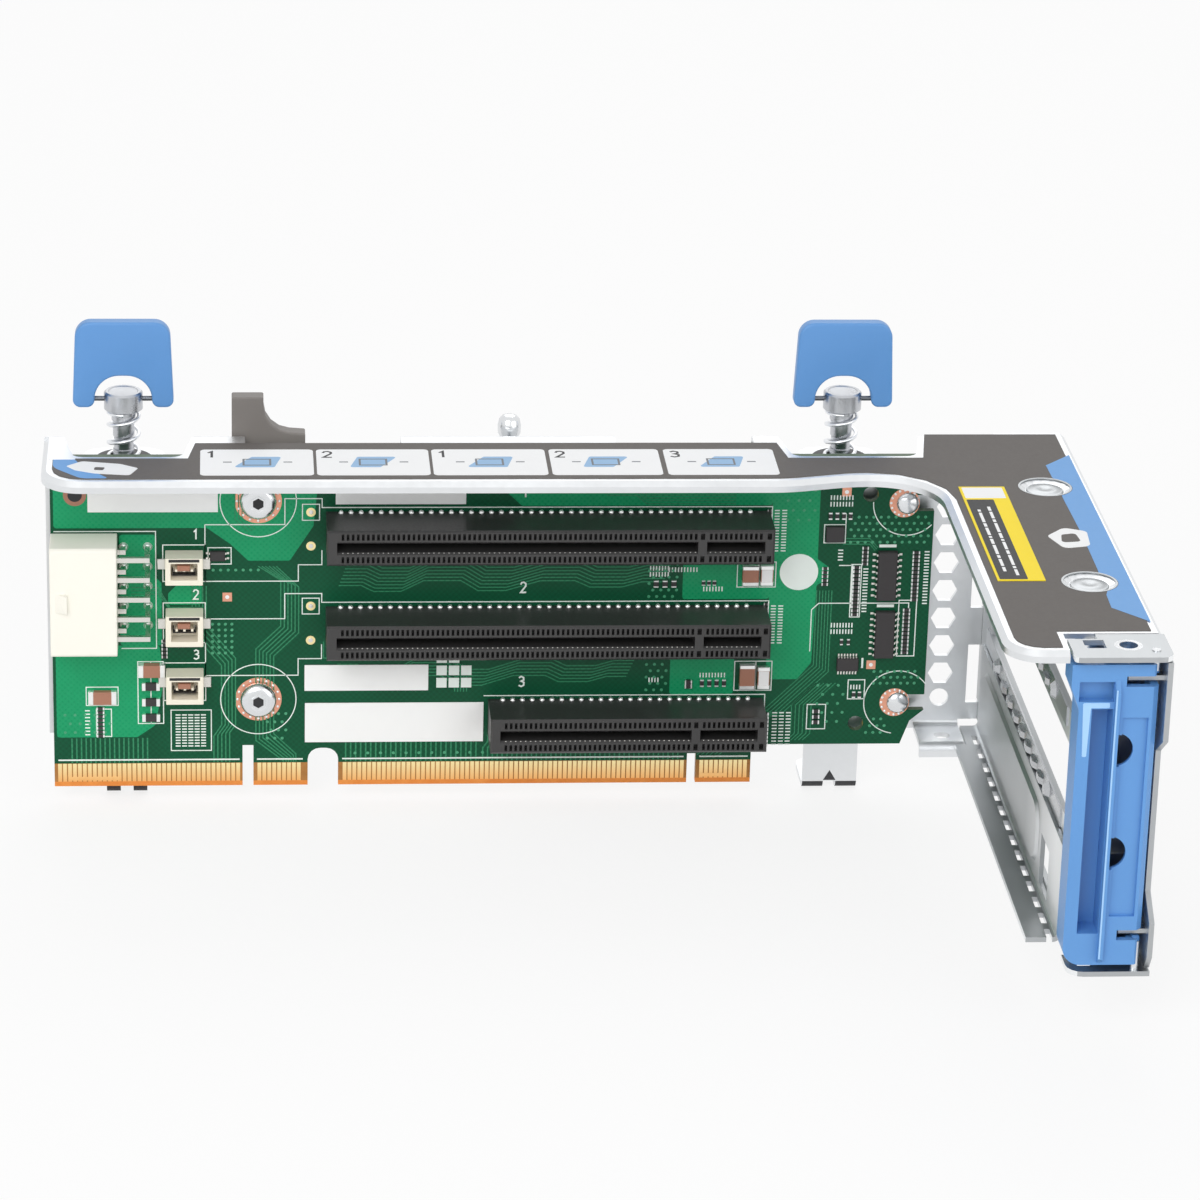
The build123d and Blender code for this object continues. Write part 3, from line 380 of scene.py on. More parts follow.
def fingerGold():
    # plating that goes from pale yellow at the top of a finger to orange at its worn lower end
    made = Finish("finger_gold", {"Metallic": 1.0})
    lift = (made.axis("Z") - level(-34.4)) / 0.004
    grain = made.noise(1300.0, 2.0, stretch=(1, 1, 0.2))
    made.feed("Base Color", made.blend(grain * 0.3 + lift * 0.85, shade(250, 176, 98), shade(254, 236, 178)))
    made.feed("Roughness", 0.36 + (grain - 0.5) * 0.3)
    return made.relief(grain, 0.00001, 0.3).material


def frontWallPaintedLight():
    # the wall's plating with a painted highlight: its upright faces go paler over the last thirty
    # millimetres before the front end, where more light falls on them
    made = Finish("wall_plating_painted_light", {"Metallic": 1.0})
    upright = abs(made.normal("X")) > 0.5
    near = (float((-66.0 + origin[1]) / 1000) - made.axis("Y")) / 0.03
    clouds, fine = made.noise(55.0, 4.0), made.noise(700.0, 2.0, stretch=(1, 0.15, 1))
    tone = clouds * 0.65 + fine * 0.35
    plating = made.blend(tone, shade(170, 173, 175), shade(192, 195, 197))
    # painted light: only upright faces fade towards near white, the nearer the front end the paler
    made.feed("Base Color", made.blend(near * upright, plating, shade(244, 246, 247)))
    made.feed("Roughness", 0.38 + (tone - 0.5) * 0.35)
    return made.relief(fine, 0.00003, 0.35).material


def mask(name, dark, light, rough=0.3):
    # solder mask over copper, with the weave of the glass just showing
    made = Finish(name, {"Specular IOR Level": 0.22})
    weave = made.weave()
    made.feed("Base Color", made.blend(made.noise(90.0, 3.0) * 0.7 + weave * 0.3, dark, light))
    made.feed("Roughness", rough + (weave - 0.5) * 0.1)
    return made.relief(weave, 0.00001, 0.2).material


zinc = metal("zinc_plate", shade(230, 232, 234), 0.36, 700.0, (1, 1, 1), 0.08, 45.0)
# a darker zinc, used only on the wing's dishes and their rims as painted shade
dishShadeZinc = metal("dish_zinc_painted_shade", shade(180, 183, 185), 0.38, 700.0, (1, 0.15, 1), 0.12, 55.0)
springSteel = metal("spring_strip", shade(190, 192, 195), 0.28, 1200.0, (1, 0.1, 1), 0.1)
nickel = metal("bright_nickel", shade(226, 228, 230), 0.2, 1500.0, (1, 1, 1), 0.06, 120.0, 0.00001)
turnedSteel = metal("turned_steel", shade(196, 198, 202), 0.3, 900.0, (1, 1, 12), 0.1, 150.0, 0.00002)
wireSteel = metal("drawn_wire", shade(238, 240, 243), 0.34, 1600.0, (1, 1, 1), 0.08, 200.0, 0.00001)
pinSteel = metal("dark_pin", shade(112, 116, 122), 0.32, 1600.0)
tin = metal("tin_plate", shade(226, 224, 218), 0.3, 1500.0, (1, 1, 1), 0.08, 300.0, 0.00001)
solder = metal("solder", shade(246, 248, 246), 0.42, 1800.0, (1, 1, 1), 0.08, 400.0)
copper = metal("bare_copper", shade(232, 168, 142), 0.42, 1500.0, (1, 1, 1), 0.2, 500.0, 0.00002)
blue = moulded("blue_moulding", shade(94, 150, 211), 0.42, 2400.0, 0.05, 0.00002, 0.1)
darkGrey = moulded("grey_moulding", shade(122, 117, 113), 0.5)
black = moulded("slot_black", shade(57, 56, 56), 0.36, 2200.0, 0.12, 0.00002)
ivory = moulded("header_ivory", shade(250, 247, 236), 0.42, 2000.0, 0.03)
cream = moulded("small_header_cream", shade(247, 240, 222), 0.42, 2000.0, 0.05)
chipBlack = moulded("chip_epoxy", shade(52, 49, 50), 0.5, 4200.0, 0.1, 0.00003)
ringBlack = moulded("washer_black", shade(40, 40, 42), 0.45)
tan = moulded("ceramic_tan", shade(170, 118, 96), 0.45, 3000.0, 0.12)
film = printed("dark_film", shade(98, 94, 91), 0.6)
paper = printed("label_paper", shade(250, 250, 249), 0.7, 0.015)
panelWhite = printed("panel_white", shade(246, 247, 248), 0.5, 0.015)
labelBlue = printed("label_blue", shade(112, 166, 224), 0.5)
paleBlue = printed("pale_blue_ink", shade(150, 188, 224), 0.5)
greyInk = printed("grey_ink", shade(120, 124, 130), 0.55)
darkInk = printed("dark_ink", shade(54, 54, 56), 0.55)
yellow = printed("label_yellow", shade(252, 224, 14), 0.5, 0.03)
screenWhite = printed("screen_white", shade(240, 248, 242), 0.6, 0.04)
# a dark grey for the painted shade on the feet
footShadeGrey = printed("foot_shade_grey", shade(62, 62, 64), 0.5)
latchHighlight = moulded("latch_painted_highlight", shade(164, 206, 244), 0.35, 2400.0, 0.04)
boardGreen, gold, wallPaintedLight = laminate(), fingerGold(), frontWallPaintedLight()
pourGreen = mask("pour_green", shade(20, 142, 92), shade(28, 166, 110))
traceGreen = mask("trace_green", shade(40, 122, 84), shade(62, 148, 106))
viaGreen = mask("via_green", shade(60, 148, 106), shade(96, 176, 136))
print("finishes made")


nodeFinish = {
    "cage_frame": zinc, "rear_wall": wallPaintedLight, "slot_cover": wallPaintedLight, "contact_strips": springSteel,
    "riser_board": boardGreen, "power_header": ivory, "power_pins": tin, "battery_headers": cream,
    "board_screws": nickel, "standoffs": nickel, "hook_studs": nickel, "guide_stud": nickel,
    "cable_guide": darkGrey, "retainer_latch": blue, "hinge_pins": nickel, "guide_bush": nickel,
    "top_label": film, "side_label": yellow, "board_stickers": paper, "logic_chips": chipBlack,
    "chip_capacitors": tan, "upper_slot": black, "middle_slot": black, "lower_slot": black,
}
for side in ("left", "right"):
    nodeFinish.update({
        side + "_screw": turnedSteel, side + "_bail": blue, side + "_bail_pin": pinSteel,
        side + "_spring": wireSteel, side + "_seat_ring": ringBlack, side + "_clip": pinSteel,
    })
for name, finish in nodeFinish.items():
    used = nodes[name].material_slots
    if not len(used):
        nodes[name].data.materials.append(finish)
    for slot in used:
        slot.material = finish


def soften(name, width, angle=35.0, segments=2):
    # joins the loose triangles of a node and rounds its edges, so that they catch the light
    weld = nodes[name].modifiers.new("join", "WELD")
    weld.merge_threshold = 0.000002
    rounding = nodes[name].modifiers.new("round", "BEVEL")
    rounding.width, rounding.segments = width / 1000, segments
    rounding.limit_method, rounding.angle_limit = "ANGLE", math.radians(angle)


softEdges = {
    "retainer_latch": 0.35, "power_header": 0.2, "battery_headers": 0.15, "cable_guide": 0.3,
    "slot_cover": 0.12,
}
for name, width in softEdges.items():
    soften(name, width)
print("nodes finished")


slotDesign = {
    "places": {"upper": (20.32, 71.65), "middle": (0.0, 71.65), "lower": (-20.32, 38.65)},
    "right": 0.9, "shortSection": 11.65, "key": 1.75, "endWall": 1.95,
    "half": 3.7, "height": 11.25, "edge": 0.4,
    "grooveHalf": 0.95, "grooveDepth": 8.4, "mouth": 0.4, "mouthDepth": 0.5,
    "windowHalf": 0.26, "window": (1.75, 3.05), "windowDepth": 1.6,
    "keyHalf": 0.42, "keyWindows": (-11.62, 1.7),
    "tipHalf": 0.16, "upperTip": (0.85, 1.15, 1.0), "lowerTip": (1.0, 1.5, 0.3), "tipEnd": 3.4,
    "dotPitch": 2.0, "dotFirst": 1.0, "dotLast": 0.6, "dotProud": 0.72,
    "bead": [(0.56, 0), (0.54, 0.18), (0.4, 0.42), (0.16, 0.56)],
}  # places hold the middle Z and the long section


def contactPlaces(longSection):
    # contacts a millimetre apart: eleven right of the key, and the rest from three further on
    count = round(longSection - 0.65)
    return np.concatenate([-np.arange(11.0), -13.0 - np.arange(count)])


def slotHousing(z, longSection):
    # a depth over the grid of x and z: the deepest of groove, mouth slope, windows and outer edge slope
    d = slotDesign
    left = d["right"] - d["shortSection"] - d["key"] - longSection
    x0, x1 = left - d["endWall"], d["right"] + d["endWall"]
    contacts = contactPlaces(longSection)
    sections = [(left, left + longSection), (d["right"] - d["shortSection"], d["right"])]
    step = 0.004
    edges = [x0, x0 + d["edge"], x1 - d["edge"], x1]
    for a, b in sections:
        edges += [a - step, a, b, b + step]
    for middle, half in [(contacts, d["windowHalf"]), (np.array(d["keyWindows"]), d["keyHalf"])]:
        for reach in (-half - step, -half, half, half + step):
            edges += list(middle + reach)
    xs = np.unique(np.round(edges, 4))
    lowWindow, highWindow = d["window"]
    g, m = d["grooveHalf"], d["grooveHalf"] + d["mouth"]
    half = [
        g, g + step, m, lowWindow - step, lowWindow, highWindow, highWindow + step,
        d["half"] - d["edge"], d["half"],
    ]
    zs = np.array([-v for v in half[::-1]] + half)
    gridX, gridZ = np.meshgrid(xs, zs)
    across = abs(gridZ)
    inSection = np.zeros_like(gridX, bool)
    for a, b in sections:
        inSection |= (gridX >= a - 1e-6) & (gridX <= b + 1e-6)
    depth = np.clip(d["edge"] - np.minimum(gridX - x0, x1 - gridX), 0, None)
    depth = np.maximum(depth, np.clip(across - (d["half"] - d["edge"]), 0, None))
    slope = np.clip((m - across) / d["mouth"], 0, 1) * d["mouthDepth"]
    depth = np.where(inSection, np.maximum(depth, slope), depth)
    depth = np.where(inSection & (across <= g + 1e-6), d["grooveDepth"], depth)
    tall = (across >= lowWindow - 1e-6) & (across <= highWindow + 1e-6)
    nearContact = abs(gridX[..., None] - contacts).min(-1) <= d["windowHalf"] + 1e-6
    nearKey = abs(gridX[..., None] - np.array(d["keyWindows"])).min(-1) <= d["keyHalf"] + 1e-6
    depth = np.where(tall & (nearContact | nearKey), d["windowDepth"], depth)
    rows, columns = gridX.shape
    front = np.stack([gridX, depth - d["height"], gridZ + z], -1)
    walls = front.copy()
    walls[..., 1] = 0.0
    # the rim is walked once round the grid, and dropped to the board for the four sides
    rim = np.concatenate([
        np.arange(columns), np.arange(1, rows) * columns + columns - 1,
        (rows - 1) * columns + np.arange(columns - 2, -1, -1), np.arange(rows - 2, 0, -1) * columns,
    ])
    points = np.concatenate([front.reshape(-1, 3), walls.reshape(-1, 3)[rim]])
    low = rows * columns + np.arange(len(rim))
    sides = np.stack([rim, np.roll(rim, -1), np.roll(low, -1), low], 1)
    return points, [gridFaces(rows, columns), sides, low[None, :]]


def contactTips(z, longSection):
    # sprung tips at the mouth of the groove, above and below, each a small block with a cut edge
    x = contactPlaces(longSection)
    h, t = slotDesign["height"], slotDesign["tipHalf"]
    made = []
    for sign, (near, far, sunk) in ((-1, slotDesign["lowerTip"]), (1, slotDesign["upperTip"])):
        inner, outer = sorted((z + sign * near, z + sign * far))
        low = np.stack([x - t, np.full_like(x, sunk - h), np.full_like(x, inner)], 1)
        high = np.stack([x + t, np.full_like(x, slotDesign["tipEnd"] - h), np.full_like(x, outer)], 1)
        made.append(blocks(low, high, 0.1))
    return merged(*made)


for name, (z, longSection) in slotDesign["places"].items():
    housing = putMesh(name + "_slot_housing", slotHousing(z, longSection), black)
    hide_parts(name + "_slot")
    putMesh(name + "_slot_contacts", contactTips(z, longSection), tin)
    d = slotDesign
    slotLeft = d["right"] - d["shortSection"] - d["key"] - longSection
    dots = np.arange(slotLeft + d["dotFirst"], d["dotLast"], d["dotPitch"])
    dotPlaces = np.stack([dots, np.full_like(dots, -d["dotProud"]), np.full_like(dots, z + d["half"])], 1)
    putMesh(name + "_slot_solder", turned(d["bead"], dotPlaces, "z", 12), solder, smooth=60)
print("slots made")


fingerDesign = {
    "runs": [(-140.2, -103.6), (-99.9, -90.4), (-82.6, -12.9), (-9.6, 0.2)], "pitch": 1.0,
    "width": 0.78, "low": -34.35, "high": -30.4, "thick": 0.035, "cut": 0.012,
    "bars": [(-138.0, -127.4), (-9.3, -4.4)], "bar": (-34.1, -33.3, 0.06), "barCut": 0.02,
}


def edgeFingers():
    # plated pads at even steps along each run, on both faces of the board
    d = fingerDesign
    x = np.concatenate([np.arange(a + 0.5, b, d["pitch"]) for a, b in d["runs"]])
    half = d["width"] / 2
    rows = []
    for y0, y1, front in ((-d["thick"], 0.0, "-y"), (boardThick, boardThick + d["thick"], "+y")):
        low = np.stack([x - half, np.full_like(x, y0), np.full_like(x, d["low"])], 1)
        high = np.stack([x + half, np.full_like(x, y1), np.full_like(x, d["high"])], 1)
        rows.append(blocks(low, high, d["cut"], front))
    low, high, proud = d["bar"]
    rows += [blocks((x0, -proud, low), (x1, 0, high), d["barCut"]) for x0, x1 in d["bars"]]
    return merged(*rows)


putMesh("edge_fingers", edgeFingers(), gold)


pourDesign = {"thick": 0.02, "round": 0.6, "outlines": [
    [(-140.2, 35.0), (-87.8, 35.0), (-87.8, 29.0), (-88.6, 21.0), (-93.3, 13.6), (-101.6, 13.6),
     (-105.2, 17.2), (-109.8, 20.6), (-140.2, 20.6)],
    [(-127.2, 19.2), (-120.0, 19.2), (-120.0, 10.0), (-118.9, 8.9), (-118.9, -4.6), (-127.2, -4.6)],
    [(-140.2, -4.6), (-119.4, -4.6), (-118.6, -12.5), (-120.4, -22.0), (-124.0, -24.6), (-140.2, -24.6)],
    [(-114.7, 9.6), (-110.9, 9.6), (-110.9, 4.2), (-117.6, 4.2), (-117.6, 6.6)],
    [(3.4, 30.2), (13.0, 30.2), (13.0, 13.6), (15.4, 11.8), (15.4, 9.2), (13.0, 8.0), (12.6, -9.0),
     (9.8, -12.6), (3.4, -12.6)],
    [(-14.2, 13.4), (3.4, 13.4), (3.4, 5.0), (-14.2, 5.0)],
    [(-16.2, -5.4), (-3.2, -5.4), (-3.2, -15.8), (-16.2, -15.8)],
    [(-51.0, 30.6), (3.4, 30.6), (3.4, 25.2), (-47.0, 25.2), (-51.0, 29.0)],
]}
putMesh("copper_pours", merged(*[
    plate(arcs([(a, b, pourDesign["round"]) for a, b in outline], 3), 0.0, pourDesign["thick"], onBoard)
    for outline in pourDesign["outlines"]]), pourGreen)


wave = np.array([
    (-83.5, 0), (-79, 0), (-76.5, -1.3), (-71, -1.3), (-66.5, 1.0), (-59, 1.0), (-55.5, -1.2),
    (-50, -1.2), (-43, 0.9), (-36, 0.9), (-33, -0.5), (-26.5, -0.5), (-22.5, 0.6), (-18.0, 0.6)])
traceDesign = {"thick": 0.035, "width": 0.24, "bundles": [
    # first path, the step from one run to the next (one for all points or one each), and count
    (wave + (0, 8.2), (0.25, 0.72), 9),
    (wave * (0.92, 1.0) + (-8.5, -12.4), (0.3, 0.7), 6),
    # from the ends of the long slots, down beside the short one, to the fingers
    ([(-96.0, 12.4), (-91.5, 7.9), (-91.5, -2.0), (-96.5, -7.0), (-96.5, -24.0), (-92.0, -28.5),
      (-92.0, -30.2)],
     [(-0.72, 0), (-0.72, 0.3), (-0.72, 0.3), (-0.72, 0.3), (-0.72, -0.3), (-0.5, -0.3), (-0.5, 0)], 6),
    ([(-112.8, 8.2), (-112.8, -2.0), (-107.0, -9.0), (-107.0, -22.0), (-108.6, -24.5), (-108.6, -30.2)],
     [(0.7, 0), (0.7, 0.4), (0.7, 0.4), (0.7, 0.0), (0.8, 0.2), (0.8, 0)], 5),
    ([(-86.5, -3.9), (-86.5, -7.5), (-60.0, -7.5), (-57.5, -10.0), (-57.5, -15.0)],
     [(0.7, 0), (0.7, 0.55), (-0.2, 0.55), (-0.6, 0.35), (-0.6, 0)], 5),
    ([(-81.9, -26.0), (-81.9, -30.2)], (1.02, 0), 27, 0.3),
    ([(-53.0, -24.4), (-53.0, -26.0), (-54.0, -27.4), (-54.0, -30.2)], (1.0, 0), 41, 0.3),
    ([(16.2, 6.8), (16.2, -11.0), (6.5, -20.7), (3.6, -20.7), (-5.5, -29.2)],
     [(-0.62, 0), (-0.62, 0.3), (-0.62, 0.3), (-0.62, 0.5), (-0.9, 0)], 6, 0.2),
    ([(13.8, -13.5), (9.0, -18.3), (9.0, -24.6), (7.5, -26.1)], (0.8, 0), 6, 0.2),
    ([(-104.2, 33.2), (-104.2, 22.4), (-101.6, 19.8)], [(0.7, 0), (0.7, 0.2), (0.7, 0.2)], 3, 0.2),
    ([(-125.0, 7.9), (-119.6, 7.9), (-117.2, 3.6), (-110.8, 3.6)],
     [(0, -0.7), (0, -0.7), (0, -0.3), (0, -0.3)], 3, 0.2),
    ([(-122.0, -24.8), (-122.0, -30.2)], (-0.95, 0), 17, 0.3),
    ([(18.0, 16.8), (23.4, 16.8), (24.6, 15.4)], [(0, 0.6), (0, 0.6), (0.3, 0.3)], 3, 0.18),
    ([(-30.0, 27.4), (-24.0, 27.4), (-22.0, 25.6), (-4.0, 25.6)],
     [(0, 0.8), (0, 0.8), (0, 0.6), (0, 0.6)], 4, 0.22),
]}


def bundle(first, step, count, width=traceDesign["width"]):
    # count parallel runs: the first path plus k times a step at each of its points
    first, step = np.array(first, float), np.array(step, float)
    paths = first[None] + np.arange(count)[:, None, None] * step[None]
    return ribbons(paths, width, 0.0, traceDesign["thick"], onBoard)


putMesh("board_traces", merged(*[bundle(*row) for row in traceDesign["bundles"]]), traceGreen)


def field(x0, x1, z0, z1, stepX, stepZ, skew=0.5):
    # a lattice of places, with every other row moved on by part of a step
    rows = np.arange(z0, z1 + 1e-6, stepZ)
    columns = np.arange(x0, x1 + 1e-6, stepX)
    x, z = np.meshgrid(columns, rows)
    x = x + (np.arange(len(rows)) % 2)[:, None] * stepX * skew
    return np.stack([x.ravel(), z.ravel()], 1)


viaDesign = {
    # low x, high x, low z, high z, step in x, step in z, and the shift of every other row
    "fields": [
        (19.5, 35.0, 17.2, 23.6, 1.5, 1.35), (25.6, 34.5, -13.6, -10.2, 1.4, 1.3),
        (24.5, 28.0, -24.5, -20.5, 1.5, 1.5), (-108.8, -104.4, -6.3, 0.2, 1.3, 1.25, 0),
        (-108.6, -99.4, 11.6, 11.7, 1.5, 2), (-60.0, -20.0, 14.6, 14.7, 1.9, 2),
        (-74.0, -46.0, 15.2, 15.4, 1.3, 2), (-21.0, -16.0, 5.6, 12.6, 1.6, 1.4),
        (-21.0, -17.2, -14.8, -8.6, 1.6, 1.4), (14.2, 20.0, -22.0, -13.0, 2.1, 2.0),
        (6.5, 12.0, 22.0, 29.0, 2.2, 2.1), (-116.0, -98.0, 30.5, 34.4, 2.4, 1.9),
        (-138.5, -130.0, -23.5, -19.5, 2.0, 1.9), (-80.0, -20.0, -28.4, -28.3, 2.6, 2),
        (-97.8, -93.6, -25.0, -18.0, 1.5, 1.8),
    ],
    # kept clear: x, z and reach
    "clear": [(30.7, 25.6, 3.6), (30.7, -17.8, 3.6), (23.2, 27.5, 2.4), (22.3, -22.4, 2.4),
              (-99.6, 26.3, 5.0), (-99.6, -16.4, 5.0)],
    "bead": [(0.33, 0), (0.31, -0.05), (0.12, -0.055)],
}
viaPlaces = np.concatenate([field(*row) for row in viaDesign["fields"]])
free = [np.hypot(viaPlaces[:, 0] - x, viaPlaces[:, 1] - z) > reach for x, z, reach in viaDesign["clear"]]
viaPlaces = viaPlaces[np.all(free, 0)]
putMesh("board_vias", turned(viaDesign["bead"], onBoard(*viaPlaces.T, 0.0), "y", 8), viaGreen)
print("board copper made")


padDesign = {
    "rings": [(-99.6, 0.0, 26.3), (-99.6, 0.0, -16.4)], "ring": [(4.7, 0), (4.7, -0.03), (3.6, -0.03)],
    "hooks": [(30.7, 0.0, 25.6), (30.7, 0.0, -17.8)], "hook": [(3.05, 0), (3.05, -0.03), (2.2, -0.03)],
    "hookShift": (0.6, 0, 0), "pearlRings": (4.2, 2.72), "pearl": [(0.3, 0), (0.26, -0.1), (0.1, -0.17)],
    "fiducials": [(-105.8, 0.0, 5.8), (24.9, 0.0, -9.5), (18.3, 0.0, 28.0)], "square": (0.95, 0.04, 0.95),
    "dot": [(0.42, -0.04), (0.4, -0.07), (0.2, -0.09)],
    "tests": [(-89.1, 0.0, 23.9), (-89.1, 0.0, 16.7), (-89.1, 0.0, 3.8), (-89.1, 0.0, -3.6)],
    "test": [(0.95, 0), (0.95, -0.04), (0.5, -0.07)],
    "testMiddle": [(0.5, -0.05), (0.45, -0.09), (0.2, -0.12)],
    "tooling": [(-135.9, 0.0, 27.6)], "toolingRing": [(2.3, 0), (2.3, -0.03), (1.5, -0.03)],
    "toolingHole": [(1.45, -0.02), (1.4, -0.04), (0.3, -0.04)],
}
d = padDesign
ringPlaces, hookPlaces, fiducials = (np.array(d[k]) for k in ("rings", "hooks", "fiducials"))
hookRings = hookPlaces - d["hookShift"]
around = np.arange(16) * math.pi / 8
circle = np.stack([np.cos(around), 0 * around, np.sin(around)], 1)[None]
pearls = np.concatenate([
    (places[:, None] + reach * circle).reshape(-1, 3)
    for places, reach in zip((ringPlaces, hookRings), d["pearlRings"])])
putMesh("ring_pads", merged(
    turned(d["ring"], ringPlaces, "y", 48),
    turned(d["hook"], hookRings, "y", 48),
    blocks(fiducials - d["square"], fiducials + np.array(d["square"]) * (1, 0, 1), 0.02),
), copper)
putMesh("tooling_ring", turned(d["toolingRing"], d["tooling"], "y", 40), tan)
# painted shade: a dark disc on the board's face for the shaded inside of the hole
putMesh("tooling_hole_painted_shade", turned(d["toolingHole"], d["tooling"], "y", 32), darkInk)
putMesh("fiducial_dots", turned(d["dot"], fiducials, "y", 16), solder)
putMesh("ring_pearls", turned(d["pearl"], pearls, "y", 10), solder, smooth=60)
putMesh("test_pads", turned(d["test"], d["tests"], "y", 24), gold)
putMesh("test_pad_middles", turned(d["testMiddle"], d["tests"], "y", 16), tin)


fastenerDesign = {
    "head": [(1.9, 0.0), (3.4, 0.0), (3.7, -0.3), (3.62, -0.9), (3.2, -1.5), (2.5, -1.85), (1.75, -1.9),
             (1.62, -1.82)],
    "socket": [(1.62, -0.4), (1.62, -1.86), (1.4, -1.86)], "shank": [(1.5, 0.0), (1.5, 3.8)],
    "floor": [(1.2, -1.87), (1.2, -1.9), (1.1, -1.91)],
    "neck": [(1.3, 1.6), (1.3, -0.02), (2.3, -0.02)], "dome": 2.3, "domeFoot": 0.1, "domeRise": 1.2,
    "flange": [(2.6, 1.6), (2.7, 1.8), (2.7, 4.0)],
    "waist": [(2.35, 31.0), (2.35, 32.2), (1.7, 33.0), (1.55, 35.2), (1.8, 36.6), (2.3, 37.6), (2.35, 39.2),
              (2.1, 40.4), (1.5, 41.1), (0.7, 41.4)],
    "stud": [(-49.3, 9.0, 0.0)],
}
d = fastenerDesign
# a low domed head whose middle drops into a six-sided socket
heads = putMesh("board_screw_heads", merged(
    turned(d["head"], ringPlaces, "y", 48),
    turned(d["socket"], ringPlaces, "y", 6),
    turned(d["shank"], ringPlaces, "y", 24),
), nickel, smooth=40)
# painted shade: a dark six-sided disc in the socket's mouth for the shade inside it
putMesh("board_screw_socket_painted_shade", turned(d["floor"], ringPlaces, "y", 6), darkInk)
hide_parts("board_screws")
bow = np.linspace(0, math.pi / 2 * 0.97, 10)
dome = np.stack([d["dome"] * np.cos(bow), -d["domeFoot"] - d["domeRise"] * np.sin(bow)], 1)
studs = putMesh("hook_stud_domes", merged(
    turned(np.concatenate([d["neck"], dome]), hookPlaces, "y", 40),
    turned(d["flange"], hookPlaces, "y", 32),
), nickel, smooth=50)
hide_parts("hook_studs")
stud = putMesh("guide_stud_turned", turned(d["waist"], d["stud"], "z", 40), nickel, smooth=50)
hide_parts("guide_stud")
print("fasteners made")


